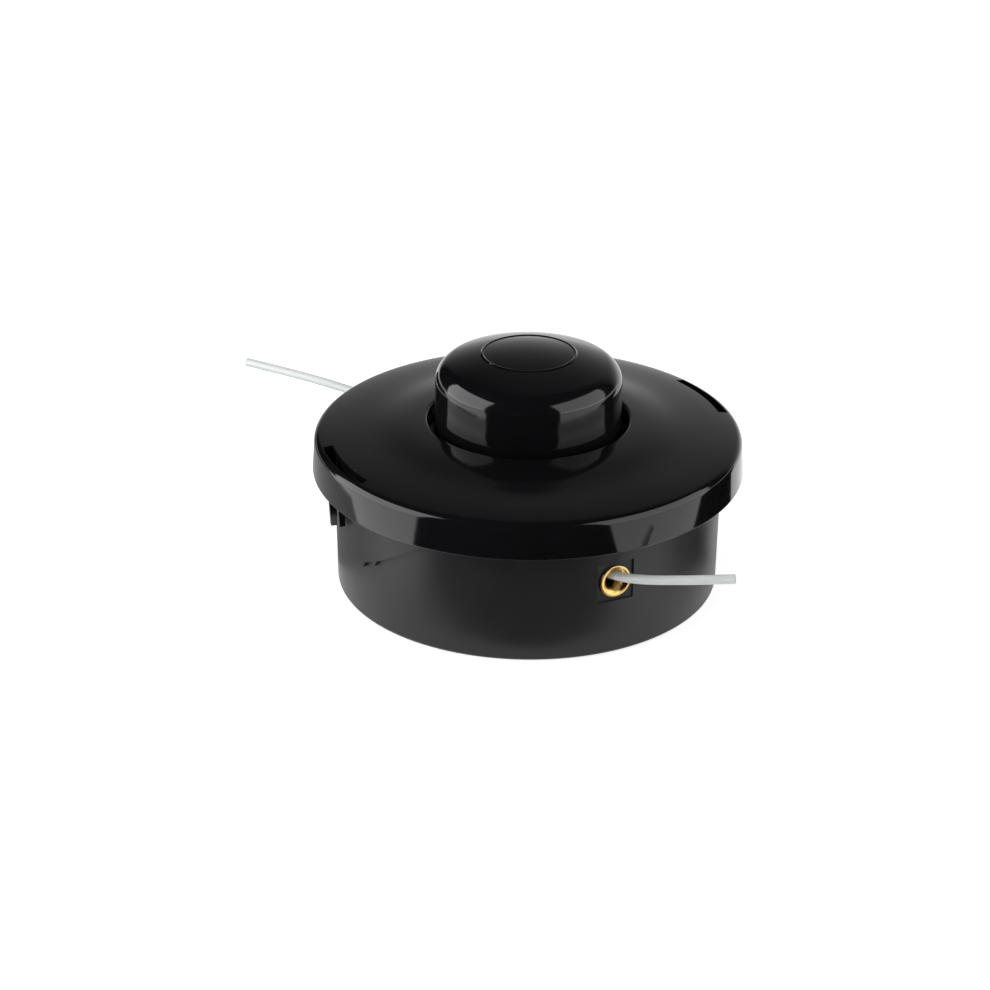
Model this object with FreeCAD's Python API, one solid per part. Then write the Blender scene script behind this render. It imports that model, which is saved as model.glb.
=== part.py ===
import FreeCAD, Part
import math
import os

# Bump-feed trimmer head in millimetres, lying on its closed base face with the knob up.
# +Z is the spin axis, z = 0 is the base face and +X points out of the front eyelet.

# Housing: a drafted cup with a central hub
HOUSING_R = 56.4
HOUSING_DRAFT = 0.6
HOUSING_HEIGHT = 43.4
HOUSING_WALL = 2.4
FLOOR = 3.2
BASE_EDGE = 1.2
INNER_CORNER = 1.5
SMALL_EDGE = 0.4
BASE_RECESS_IN = 16.0
BASE_RIM = 9.0
BASE_RECESS_DEPTH = 1.0
BASE_RIBS = 8
RIB_THICKNESS = 1.6
FLOOR_RIB_HEIGHT = 1.4
FLOOR_RIB_MARGIN = 1.0
HUB_R = 13.5
HUB_BORE_R = 11.5
HUB_SHOULDER = 15.4

# Drive insert: flanged hexagonal nut held by a washer and a circlip
THREAD_R = 4.375
INSERT_FLANGE_R = 12.0
INSERT_FLANGE = 2.0
INSERT_HEX = 16.0
INSERT_NECK_R = 7.0
INSERT_NECK = 4.0
INSERT_PLAY = 0.1
CIRCLIP_GROOVE = 0.8
CIRCLIP_WIDTH = 1.9
CIRCLIP_THICKNESS = 1.2
CIRCLIP_GAP = 50.0
INSERT_WASHER_THICKNESS = 1.2

# Cover: lid with a drafted skirt, a low crown and a collar round the knob
COVER_OVERHANG = 5.7
COVER_DRAFT = 0.6
COVER_WALL = 2.0
COVER_RISE = 7.2
SKIRT_OVERLAP = 8.3
COVER_EDGE_ROUND = 2.3
COVER_CROWN_R = 325.0
COVER_INNER_ROUND = 1.0
OPENING_GAP = 2.2
LIP_ROUND = 0.8
COLLAR_DEPTH = 4.4
SPIGOT_WALL = 1.4
SPIGOT_DEPTH = 2.0
COVER_SEAT_RISE = 2.2
COVER_RIBS = 8
COVER_RIB_DEPTH = 1.2

# Latches between cover and housing, one on each side
LATCH_AZ = -90.0
SLOT_ANGLE = 26.0
SLOT_WIDTH = 2.8
LEG_LIFT = 0.3
LEG_HEIGHT = 6.3
LEG_THICKNESS = 2.6
LEG_SLOT_AIR = 0.5
WEB_ANGLE = 1.6
NOSE_LIFT = 0.5
NOSE_AIR = 0.7
NOSE_HEIGHT = 1.7
NOSE_ANGLE = 18.0
LEDGE_AIR = 0.5
LEDGE_HEIGHT = 1.8
LEDGE_ANGLE = 30.0
LONG_PRONG_AZ = -11.7
LONG_PRONG_ANGLE = 4.8
LONG_PRONG_DROP = 12.7
LONG_PRONG_STEP = 0.2
SHORT_PRONG_AZ = -5.6
SHORT_PRONG_ANGLE = 4.1
SHORT_PRONG_DROP = 9.8
SHORT_PRONG_STEP = 0.6
PRONG_THICKNESS = 2.2

# Ramp panel on the housing wall, from its low end to its high end, down from the skirt's edge
RAMP_DEPTH = 1.1
RAMP_AZ = (4.1, 6.5, 14.5, 30.5)
RAMP_DROP = (19.1, 18.2, 15.2, 5.0)
RAMP_LIFT = 0.2
TOOTH_ANGLE = 1.9
TOOTH_HEIGHT = 1.8
TOOTH_ROOT = (0.2, 0.3)

# Eyelets
EYELET_DROP = 12.4
EYELET_BODY_R = 4.0
EYELET_FLANGE_R = 4.8
EYELET_FLANGE = 0.8
EYELET_MOUTH_R = 4.25
EYELET_THROAT_R = 2.3
EYELET_FLARE = 3.1
EYELET_FLARE_ROUND = 1.5
EYELET_EDGES = (0.3, 0.35, 0.2)
EYELET_LENGTH = 3.9
SEAT_WIDTH = 11.2
SEAT_HEIGHT = 12.0
SEAT_DEPTH = 0.6
BOSS_MARGIN = 0.9

# Spool and what is fixed to it
SPOOL_RISE = 9.3
SPOOL_DROP = 3.9
FLANGE_THICKNESS = 1.8
DIVIDER = 1.6
SPOOL_CLEARANCE = 0.4
DIVIDER_STEP = 1.6
BARREL_WALL = 2.4
BARREL_GAP = 5.04
PILOT_HEIGHT = 6.0
DECK = 2.0
PILOT_WALL = 2.4
PILOT_GAP = 0.1
SPOOL_RIBS = 6
SPOOL_RIB_START = 1.6
NOTCH_WIDTH = 3.4
NOTCH_DEPTH = 6.0
SLEEVE_WALL = 0.8
BUSH_WALL = 2.14
BUSH_LENGTH = 11.5
CORE_WALL = 2.0
CORE_LENGTH = 15.0
HUB_AIR = 7.0
WINDING_FILL = 0.69
TURNS_ACROSS = 4

# Stops and lugs that let the line out one step at a time
STOPS = 4
STOP_MARGIN = 1.1
STOP_WIDTH = 6.0
STOP_ANGLE = 7.0
STOP_AZ = 45.0
STOP_AIR = 0.5
STOP_FLANGE_AIR = 0.4
LUG_MARGIN = 0.4
LOWER_STOP_HEIGHT = 3.0
UPPER_LUG_HEIGHT = 4.2
LOWER_LUG_HEIGHT = 2.9

# Knob
KNOB_R = 27.3
KNOB_RISE = 21.3
KNOB_WALL = 2.4
KNOB_CROWN_R = 69.0
KNOB_SHOULDER = 6.5
KNOB_RING_R = 13.6
KNOB_RING_WIRE = 0.35
KNOB_FLANGE_WIDTH = 4.6
KNOB_FLANGE = 2.1
KNOB_FLANGE_AIR = 0.3
KNOB_FLANGE_EDGE = 0.3
POSTS = 3
POST_CIRCLE_R = 7.5
POST_R = 3.4
SCREW_R = 1.7
SCREW_HOLE_GAP = 0.2
SCREW_HEAD_R = 3.0
SCREW_HEAD = 2.2
SCREW_LENGTH = 12.0
SCREW_TIP_AIR = 1.5

# Spring and washers
SPRING_WIRE_R = 0.9
SPRING_INSET = 0.96
SPRING_TURNS = 6.0
SPRING_GRIND = 0.45
SPRING_WASHER = 1.0
SPRING_WASHER_MARGIN = 0.74

# Clearances, and how far joined pieces and cuts run into each other
PRESS_GAP = 0.02
SLIDE_GAP = 0.06
LOOSE_GAP = 0.25
OVERLAP = 1.0

# Nylon line: the points of each free end, out from the inner end of its eyelet,
# across, and up from the eyelet's centre
LINE_D = 2.7
FRONT_TAIL = [
    (-0.6, -0.3, 0.4), (6.1, 0.5, 1.9), (12.7, 4.3, 3.3),
    (18.7, 10.2, 4.7), (24.4, 17.1, 6.0), (29.1, 24.3, 6.9),
]
REAR_TAIL = [
    (-0.6, 0.3, -0.5), (6.1, -0.5, 0.4), (13.7, -4.3, 1.7), (24.1, -10.6, 3.1),
    (37.7, -18.7, 4.2), (54.1, -29.5, 5.1), (70.7, -41.4, 5.3),
]

# Heights that follow from the values above
SKIRT_BOTTOM = HOUSING_HEIGHT - SKIRT_OVERLAP
LIP_Z = HOUSING_HEIGHT + COVER_RISE
COLLAR_BOTTOM = LIP_Z - COLLAR_DEPTH
COVER_SEAT_TOP = HOUSING_HEIGHT + COVER_SEAT_RISE
LEG_BOTTOM = SKIRT_BOTTOM + LEG_LIFT
LEG_TOP = LEG_BOTTOM + LEG_HEIGHT
NOSE_BOTTOM = SKIRT_BOTTOM + NOSE_LIFT
NOSE_TOP = NOSE_BOTTOM + NOSE_HEIGHT
LEDGE_BOTTOM = NOSE_TOP + LOOSE_GAP
RAMP_Z = [SKIRT_BOTTOM - drop for drop in RAMP_DROP]
RAMP_TOP = SKIRT_BOTTOM + RAMP_LIFT
EYELET_Z = SKIRT_BOTTOM - EYELET_DROP
SPOOL_BOTTOM = FLOOR + SPOOL_RISE
FLANGE_TOP = HOUSING_HEIGHT - SPOOL_DROP
CHANNEL = (FLANGE_TOP - SPOOL_BOTTOM - 2 * FLANGE_THICKNESS - DIVIDER) / 2
LOWER_CHANNEL_Z = SPOOL_BOTTOM + FLANGE_THICKNESS
DIVIDER_Z = LOWER_CHANNEL_Z + CHANNEL
UPPER_CHANNEL_Z = DIVIDER_Z + DIVIDER
UPPER_FLANGE_Z = UPPER_CHANNEL_Z + CHANNEL
DECK_TOP = FLANGE_TOP + PILOT_HEIGHT
DECK_UNDER = DECK_TOP - DECK
CORE_BOTTOM = DECK_UNDER - CORE_LENGTH
HUB_TOP = DECK_UNDER - HUB_AIR
KNOB_TOP = LIP_Z + KNOB_RISE
FLANGE_SEAT_Z = COLLAR_BOTTOM - KNOB_FLANGE_AIR
SPRING_BASE_Z = FLOOR + SPRING_WASHER
SPRING_TOP_Z = CORE_BOTTOM - SPRING_WASHER

# Radii and azimuths that follow from the values above
WALL_TOP_R = HOUSING_R + HOUSING_DRAFT
HOUSING_IN_R = WALL_TOP_R - HOUSING_WALL
BASE_RECESS_OUT = HOUSING_R - BASE_RIM
SPIGOT_R = HOUSING_IN_R - LOOSE_GAP
SEAT_X = HOUSING_R - SEAT_DEPTH
BOSS_X = SEAT_X - EYELET_LENGTH
COVER_R = WALL_TOP_R + COVER_OVERHANG
SKIRT_IN_R = COVER_R - COVER_WALL
LEG_IN_R = SKIRT_IN_R - LEG_THICKNESS
KNOB_BORE_R = KNOB_R - KNOB_WALL
KNOB_FLANGE_R = KNOB_R + KNOB_FLANGE_WIDTH
OPENING_R = KNOB_R + OPENING_GAP
COVER_TOP = LIP_Z + OPENING_R ** 2 / (2 * COVER_CROWN_R)
PILOT_R = KNOB_BORE_R - PILOT_GAP
PILOT_IN_R = PILOT_R - PILOT_WALL
FLANGE_R = BOSS_X - SPOOL_CLEARANCE
DIVIDER_R = FLANGE_R - DIVIDER_STEP
STOP_R_OUT = FLANGE_R - STOP_MARGIN
STOP_R_IN = STOP_R_OUT - STOP_WIDTH
LUG_AZ = STOP_AZ - STOP_ANGLE - STOP_AIR
LOWER_STOP_AZ = LUG_AZ - 180.0 / STOPS
SLEEVE_R = HUB_R + PRESS_GAP + SLEEVE_WALL
BUSH_IN_R = SLEEVE_R + SLIDE_GAP
BUSH_R = BUSH_IN_R + BUSH_WALL
CORE_BORE_R = BUSH_R + PRESS_GAP
CORE_R = CORE_BORE_R + CORE_WALL
BARREL_R = CORE_R + BARREL_GAP + BARREL_WALL
WINDING_DEPTH = WINDING_FILL * (FLANGE_R - BARREL_R)
SPRING_MEAN_R = CORE_R - SPRING_INSET
SPRING_WASHER_R = CORE_R + SPRING_WASHER_MARGIN


def ring(r_in, r_out, z0, z1):
    """A plain tube between two radii and two heights."""
    body = Part.makeCylinder(r_out, z1 - z0, FreeCAD.Vector(0, 0, z0))
    if r_in > 0:
        base = FreeCAD.Vector(0, 0, z0 - OVERLAP)
        body = body.cut(Part.makeCylinder(r_in, z1 - z0 + 2 * OVERLAP, base))
    return body


def disc(r, z0, z1, x=0.0, y=0.0):
    """An upright cylinder at a place."""
    return Part.makeCylinder(r, z1 - z0, FreeCAD.Vector(x, y, z0))


def turned(shape, angle):
    """A copy turned about the spin axis."""
    copy = shape.copy()
    copy.rotate(FreeCAD.Vector(0, 0, 0), FreeCAD.Vector(0, 0, 1), angle)
    return copy


def sector(r_in, r_out, z0, z1, az, angle):
    """A ring segment centred on an azimuth."""
    up = FreeCAD.Vector(0, 0, 1)
    base = FreeCAD.Vector(0, 0, z0)
    body = Part.makeCylinder(r_out, z1 - z0, base, up, angle)
    body = body.cut(Part.makeCylinder(r_in, z1 - z0, base, up, 360))
    return turned(body, az - angle / 2)


def around(shape, count):
    """The shape repeated evenly about the spin axis."""
    return [turned(shape, 360.0 / count * i) for i in range(count)]


def radial_bar(r_in, r_out, thickness, z0, z1):
    """A straight bar that runs outwards along +X."""
    corner = FreeCAD.Vector(r_in, -thickness / 2, z0)
    return Part.makeBox(r_out - r_in, thickness, z1 - z0, corner)


def joined(first, others):
    """One solid out of touching ones."""
    return first.multiFuse(others).removeSplitter()


def outline(corners):
    """A closed outline in the XZ plane; a third number in a corner rounds it to that radius."""
    points = [FreeCAD.Vector(c[0], 0, c[1]) for c in corners]
    radii = [c[2] if len(c) > 2 else 0.0 for c in corners]
    edges = []
    starts = []
    ends = []
    count = len(points)
    for i, point in enumerate(points):
        before = (points[i - 1] - point).normalize()
        after = (points[(i + 1) % count] - point).normalize()
        if radii[i] == 0.0:
            starts.append(point)
            ends.append(point)
            continue
        half = before.getAngle(after) / 2
        reach = radii[i] / math.tan(half)
        bisector = (before + after).normalize()
        middle = point + bisector * (radii[i] / math.sin(half) - radii[i])
        starts.append(point + before * reach)
        ends.append(point + after * reach)
        edges.append((i, Part.Arc(starts[i], middle, ends[i]).toShape()))
    arcs = dict(edges)
    chain = []
    for i in range(count):
        if i in arcs:
            chain.append(arcs[i])
        target = starts[(i + 1) % count]
        if ends[i].distanceToPoint(target) > 1e-6:
            chain.append(Part.makeLine(ends[i], target))
    return Part.Face(Part.Wire(chain))


def lathe(corners):
    """A turned solid: the outline of (radius, height, rounding) corners swept about +Z."""
    return outline(corners).revolve(FreeCAD.Vector(0, 0, 0), FreeCAD.Vector(0, 0, 1), 360)


def capped(r, z0, top, crown_r, shoulder, draft=0.0):
    """A wall under a spherical crown, with a rounded shoulder; draft widens the wall's foot."""
    crown_z = top - crown_r
    round_r = r - shoulder
    round_z = crown_z + math.sqrt((crown_r - shoulder) ** 2 - round_r ** 2)
    tilt = math.atan2(round_r, round_z - crown_z)
    half = (math.pi / 2 + tilt) / 2

    def on(radius, r_mid, z_mid, angle):
        return FreeCAD.Vector(r_mid + radius * math.sin(angle), 0, z_mid + radius * math.cos(angle))

    wall_top = FreeCAD.Vector(r, 0, round_z)
    shoulder_mid = on(shoulder, round_r, round_z, half)
    shoulder_end = on(crown_r, 0, crown_z, tilt)
    crown_mid = on(crown_r, 0, crown_z, tilt / 2)
    apex = FreeCAD.Vector(0, 0, top)
    axis_low = FreeCAD.Vector(0, 0, z0)
    wall_low = FreeCAD.Vector(r + draft, 0, z0)
    edges = [
        Part.makeLine(axis_low, wall_low),
        Part.makeLine(wall_low, wall_top),
        Part.Arc(wall_top, shoulder_mid, shoulder_end).toShape(),
        Part.Arc(shoulder_end, crown_mid, apex).toShape(),
        Part.makeLine(apex, axis_low),
    ]
    face = Part.Face(Part.Wire(edges))
    return face.revolve(FreeCAD.Vector(0, 0, 0), FreeCAD.Vector(0, 0, 1), 360)


def crown_z(r):
    """Height of the cover's outer surface at a radius."""
    return COVER_TOP - r ** 2 / (2 * COVER_CROWN_R)


def unrolled(az_z, mid_az, r, depth):
    """A prism whose outline is given in azimuth and height, pushed outwards at a middle azimuth."""
    points = []
    for az, z in az_z:
        points.append(FreeCAD.Vector(r / 2, r * math.sin(math.radians(az - mid_az)), z))
    face = Part.Face(Part.makePolygon(points + points[:1]))
    return turned(face.extrude(FreeCAD.Vector(r / 2 + depth, 0, 0)), mid_az)


def base_recess():
    """The shallow ring cut in the base face, with the ribs left standing."""
    cut = ring(BASE_RECESS_IN, BASE_RECESS_OUT, -OVERLAP, BASE_RECESS_DEPTH)
    rib = radial_bar(BASE_RECESS_IN - OVERLAP, BASE_RECESS_OUT + OVERLAP, RIB_THICKNESS,
                     -2 * OVERLAP, FLOOR)
    return cut.cut(Part.makeCompound(around(rib, BASE_RIBS)))


def ramp_panel():
    """The proud panel on the wall: a slanted lower edge with two catch teeth."""
    edge = [(RAMP_AZ[0], RAMP_Z[0])]
    for az, z in zip(RAMP_AZ[1:3], RAMP_Z[1:3]):
        edge.append((az - TOOTH_ANGLE / 2, z - TOOTH_ROOT[0]))
        edge.append((az, z - TOOTH_HEIGHT))
        edge.append((az + TOOTH_ANGLE / 2, z + TOOTH_ROOT[1]))
    edge.append((RAMP_AZ[3], RAMP_Z[3]))
    edge.append((RAMP_AZ[3], RAMP_TOP))
    edge.append((RAMP_AZ[0], RAMP_TOP))
    mid = (RAMP_AZ[0] + RAMP_AZ[3]) / 2
    skin = ring(HOUSING_R - HOUSING_WALL / 2, WALL_TOP_R + RAMP_DEPTH, 0, HOUSING_HEIGHT)
    prism = unrolled(edge, mid, WALL_TOP_R, 4 * RAMP_DEPTH)
    return turned(skin.common(prism), LATCH_AZ)


def eyelet_seat():
    """The flat pocket and the bore for one eyelet, cut from the wall at +X."""
    corner = FreeCAD.Vector(SEAT_X, -SEAT_WIDTH / 2, EYELET_Z - SEAT_HEIGHT / 2)
    pocket = Part.makeBox(HOUSING_WALL + SEAT_DEPTH, SEAT_WIDTH, SEAT_HEIGHT, corner)
    along = FreeCAD.Vector(1, 0, 0)
    mouth = FreeCAD.Vector(BOSS_X - OVERLAP, 0, EYELET_Z)
    bore = Part.makeCylinder(EYELET_BODY_R + PRESS_GAP, EYELET_LENGTH + 2 * OVERLAP, mouth, along)
    return pocket.fuse(bore)


def eyelet_boss():
    """The thick patch inside the wall that carries one eyelet."""
    width = SEAT_WIDTH + 2 * BOSS_MARGIN
    height = SEAT_HEIGHT + 2 * BOSS_MARGIN
    corner = FreeCAD.Vector(BOSS_X, -width / 2, EYELET_Z - height / 2)
    block = Part.makeBox(HOUSING_R - BOSS_X, width, height, corner)
    return block.common(ring(0, HOUSING_R - HOUSING_WALL / 2, 0, HOUSING_HEIGHT))


def hexagon(across, z0, z1):
    """An upright hexagonal prism, given across its flats."""
    r = across / math.sqrt(3)
    points = []
    for i in range(7):
        angle = math.radians(60 * i)
        points.append(FreeCAD.Vector(r * math.cos(angle), r * math.sin(angle), z0))
    return Part.Face(Part.makePolygon(points)).extrude(FreeCAD.Vector(0, 0, z1 - z0))


def housing():
    """The moulded cup with its hub, stops, ribs, eyelet seats, ledges and ramp panels."""
    cup = lathe([
        (0, 0), (HOUSING_R, 0, BASE_EDGE),
        (WALL_TOP_R, HOUSING_HEIGHT, SMALL_EDGE), (HOUSING_IN_R, HOUSING_HEIGHT, SMALL_EDGE),
        (HOUSING_R - HOUSING_WALL, FLOOR, INNER_CORNER), (0, FLOOR),
    ])
    hub = disc(HUB_R, FLOOR - OVERLAP, HUB_TOP)
    stop = sector(STOP_R_IN, STOP_R_OUT, FLOOR - OVERLAP, FLOOR + LOWER_STOP_HEIGHT,
                  LOWER_STOP_AZ, STOP_ANGLE)
    rib = radial_bar(SPRING_WASHER_R + FLOOR_RIB_MARGIN, STOP_R_IN - FLOOR_RIB_MARGIN,
                     RIB_THICKNESS, FLOOR - OVERLAP, FLOOR + FLOOR_RIB_HEIGHT)
    ledge = sector(HOUSING_R - HOUSING_WALL / 2, LEG_IN_R - LEDGE_AIR, LEDGE_BOTTOM,
                   LEDGE_BOTTOM + LEDGE_HEIGHT, LATCH_AZ, LEDGE_ANGLE)
    extras = [hub]
    extras += around(stop, STOPS)
    extras += around(rib, BASE_RIBS)
    for side in (ledge, ramp_panel(), eyelet_boss()):
        extras += around(side, 2)
    body = joined(cup, extras)
    cuts = [base_recess(), disc(HUB_BORE_R, HUB_SHOULDER, HUB_TOP + OVERLAP)]
    cuts.append(hexagon(INSERT_HEX + 2 * PRESS_GAP, -OVERLAP, HUB_SHOULDER + OVERLAP))
    cuts.append(disc(INSERT_FLANGE_R + LOOSE_GAP, -OVERLAP, INSERT_FLANGE))
    cuts += around(eyelet_seat(), 2)
    return body.cut(cuts)


def prong(az, angle, drop, step):
    """One prong that hangs from the latch leg, stepped in from the skirt's inner face."""
    r_out = SKIRT_IN_R - step
    return sector(r_out - PRONG_THICKNESS, r_out, SKIRT_BOTTOM - drop, LEG_BOTTOM + OVERLAP,
                  az, angle)


def latch_leg():
    """One latch leg of the cover, with its end webs, its nose and its two prongs."""
    root = SKIRT_IN_R + COVER_WALL / 2
    leg = sector(LEG_IN_R, root, LEG_BOTTOM, LEG_TOP, 0, SLOT_ANGLE + 2 * WEB_ANGLE)
    webs = []
    for side in (-1, 1):
        webs.append(sector(LEG_IN_R, root, LEG_BOTTOM, crown_z(SKIRT_IN_R) - COVER_WALL / 2,
                           side * (SLOT_ANGLE + WEB_ANGLE) / 2, WEB_ANGLE))
    nose = sector(WALL_TOP_R + NOSE_AIR, LEG_IN_R + OVERLAP, NOSE_BOTTOM, NOSE_TOP,
                  0, NOSE_ANGLE)
    long_prong = prong(LONG_PRONG_AZ, LONG_PRONG_ANGLE, LONG_PRONG_DROP, LONG_PRONG_STEP)
    short_prong = prong(SHORT_PRONG_AZ, SHORT_PRONG_ANGLE, SHORT_PRONG_DROP, SHORT_PRONG_STEP)
    return turned(joined(leg, webs + [nose, long_prong, short_prong]), LATCH_AZ)


def lip_round():
    """What comes off the opening's top edge to leave it rounded."""
    r = OPENING_R
    top = LIP_Z
    past = LIP_ROUND + PRESS_GAP
    face = outline([(r - OVERLAP, top - past), (r, top - past), (r, top, LIP_ROUND),
                    (r + past, top), (r + past, top + OVERLAP), (r - OVERLAP, top + OVERLAP)])
    return face.revolve(FreeCAD.Vector(0, 0, 0), FreeCAD.Vector(0, 0, 1), 360)


def cover():
    """The lid: skirt, crowned plate, collar, seat, spigot, stops, ribs, slots and latch legs."""
    shell = capped(COVER_R, SKIRT_BOTTOM, COVER_TOP, COVER_CROWN_R, COVER_EDGE_ROUND,
                   COVER_DRAFT)
    hollow = capped(SKIRT_IN_R, SKIRT_BOTTOM - OVERLAP, COVER_TOP - COVER_WALL,
                    COVER_CROWN_R - COVER_WALL, COVER_INNER_ROUND)
    half_plate = COVER_WALL / 2
    collar = ring(OPENING_R - OVERLAP, OPENING_R + COVER_WALL, COLLAR_BOTTOM,
                  crown_z(OPENING_R) - half_plate)
    seat = ring(HOUSING_IN_R, WALL_TOP_R, HOUSING_HEIGHT, crown_z(HOUSING_IN_R) - half_plate)
    spigot = ring(SPIGOT_R - SPIGOT_WALL, SPIGOT_R, HOUSING_HEIGHT - SPIGOT_DEPTH,
                  crown_z(SPIGOT_R) - half_plate)
    stop = sector(STOP_R_IN, STOP_R_OUT, FLANGE_TOP + STOP_FLANGE_AIR,
                  crown_z(STOP_R_OUT) - half_plate, STOP_AZ, STOP_ANGLE)
    rib = radial_bar(KNOB_FLANGE_R + FLOOR_RIB_MARGIN, STOP_R_IN, RIB_THICKNESS,
                     crown_z(STOP_R_IN) - COVER_WALL - COVER_RIB_DEPTH,
                     crown_z(STOP_R_IN) - half_plate)
    extras = [collar, seat, spigot]
    extras += around(stop, STOPS)
    extras += around(turned(rib, STOP_AZ), COVER_RIBS)
    extras += around(latch_leg(), 2)
    body = joined(shell.cut(hollow), extras)
    slot = sector(SKIRT_IN_R - SLOT_WIDTH, SKIRT_IN_R, LEG_TOP + LEG_SLOT_AIR, COVER_TOP,
                  LATCH_AZ, SLOT_ANGLE)
    cuts = around(slot, 2)
    cuts.append(disc(OPENING_R, COLLAR_BOTTOM - OVERLAP, COVER_TOP + OVERLAP))
    cuts.append(lip_round())
    return body.cut(cuts)


def eyelet():
    """A brass ferrule turned about +X: flange, flared mouth and plain throat."""
    face = SEAT_X + EYELET_FLANGE
    inner, outer, mouth = EYELET_EDGES
    body = lathe([
        (EYELET_THROAT_R, BOSS_X, inner), (EYELET_BODY_R, BOSS_X, inner),
        (EYELET_BODY_R, SEAT_X), (EYELET_FLANGE_R, SEAT_X),
        (EYELET_FLANGE_R, face, outer), (EYELET_MOUTH_R, face, mouth),
        (EYELET_THROAT_R, face - EYELET_FLARE, EYELET_FLARE_ROUND),
    ])
    body.rotate(FreeCAD.Vector(0, 0, 0), FreeCAD.Vector(0, 1, 0), 90)
    body.translate(FreeCAD.Vector(0, 0, EYELET_Z))
    return body


def drive_insert():
    """The flanged hexagonal insert with its bore and circlip groove."""
    hex_top = HUB_SHOULDER - INSERT_PLAY
    top = HUB_SHOULDER + INSERT_NECK
    body = joined(disc(INSERT_FLANGE_R, 0, INSERT_FLANGE), [
        hexagon(INSERT_HEX, INSERT_FLANGE - OVERLAP, hex_top),
        disc(INSERT_NECK_R, hex_top - OVERLAP, top),
    ])
    groove_z = HUB_SHOULDER + INSERT_WASHER_THICKNESS
    groove = ring(INSERT_NECK_R - CIRCLIP_GROOVE, INSERT_NECK_R + OVERLAP,
                  groove_z, groove_z + CIRCLIP_THICKNESS + INSERT_PLAY)
    return body.cut([groove, disc(THREAD_R, -OVERLAP, top + OVERLAP)])


def insert_washer():
    """The washer between the hub's shoulder and the circlip."""
    return ring(INSERT_NECK_R + INSERT_PLAY, HUB_BORE_R - INSERT_PLAY, HUB_SHOULDER,
                HUB_SHOULDER + INSERT_WASHER_THICKNESS)


def insert_circlip():
    """The open ring in the insert's groove."""
    z0 = HUB_SHOULDER + INSERT_WASHER_THICKNESS
    r_in = INSERT_NECK_R - CIRCLIP_GROOVE + PRESS_GAP
    return sector(r_in, r_in + CIRCLIP_WIDTH, z0, z0 + CIRCLIP_THICKNESS,
                  180.0, 360.0 - CIRCLIP_GAP)


def spool():
    """The moulded spool: flanges, notched divider, barrel, core, deck, ribs and lugs."""
    barrel_in = BARREL_R - BARREL_WALL
    edge = SMALL_EDGE
    body = lathe([
        (barrel_in, SPOOL_BOTTOM), (FLANGE_R, SPOOL_BOTTOM, edge),
        (FLANGE_R, LOWER_CHANNEL_Z, edge), (BARREL_R, LOWER_CHANNEL_Z),
        (BARREL_R, DIVIDER_Z), (DIVIDER_R, DIVIDER_Z, edge),
        (DIVIDER_R, UPPER_CHANNEL_Z, edge), (BARREL_R, UPPER_CHANNEL_Z),
        (BARREL_R, UPPER_FLANGE_Z), (FLANGE_R, UPPER_FLANGE_Z, edge),
        (FLANGE_R, FLANGE_TOP, edge), (PILOT_R, FLANGE_TOP),
        (PILOT_R, DECK_TOP, edge), (0, DECK_TOP), (0, DECK_UNDER),
        (CORE_BORE_R, DECK_UNDER), (CORE_BORE_R, CORE_BOTTOM),
        (CORE_R, CORE_BOTTOM), (CORE_R, DECK_UNDER),
        (PILOT_IN_R, DECK_UNDER), (PILOT_IN_R, FLANGE_TOP),
        (barrel_in, UPPER_FLANGE_Z),
    ])
    root = CORE_WALL / 2
    rib = radial_bar(CORE_R - root, PILOT_IN_R + PILOT_WALL / 2, RIB_THICKNESS,
                     CORE_BOTTOM + SPOOL_RIB_START, DECK_TOP - DECK / 2)
    barrel_rib = radial_bar(CORE_R - root, barrel_in + BARREL_WALL / 2, RIB_THICKNESS,
                            CORE_BOTTOM + SPOOL_RIB_START, UPPER_FLANGE_Z)
    lug_in = STOP_R_IN + LUG_MARGIN
    lug_out = STOP_R_OUT - LUG_MARGIN
    half_flange = FLANGE_THICKNESS / 2
    upper_lug = sector(lug_in, lug_out, UPPER_FLANGE_Z + half_flange,
                       FLANGE_TOP + UPPER_LUG_HEIGHT, LUG_AZ, STOP_ANGLE)
    lower_lug = sector(lug_in, lug_out, SPOOL_BOTTOM - LOWER_LUG_HEIGHT,
                       SPOOL_BOTTOM + half_flange, LUG_AZ, STOP_ANGLE)
    extras = around(rib, SPOOL_RIBS) + around(barrel_rib, SPOOL_RIBS)
    extras += around(upper_lug, STOPS) + around(lower_lug, STOPS)
    body = joined(body, extras)
    notch = radial_bar(DIVIDER_R - NOTCH_DEPTH, DIVIDER_R + OVERLAP, NOTCH_WIDTH,
                       DIVIDER_Z - OVERLAP, UPPER_CHANNEL_Z + OVERLAP)
    hole = disc(SCREW_R + SCREW_HOLE_GAP, DECK_UNDER - OVERLAP, DECK_TOP + OVERLAP,
                POST_CIRCLE_R)
    return body.cut(around(notch, 2) + around(hole, POSTS))


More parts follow.
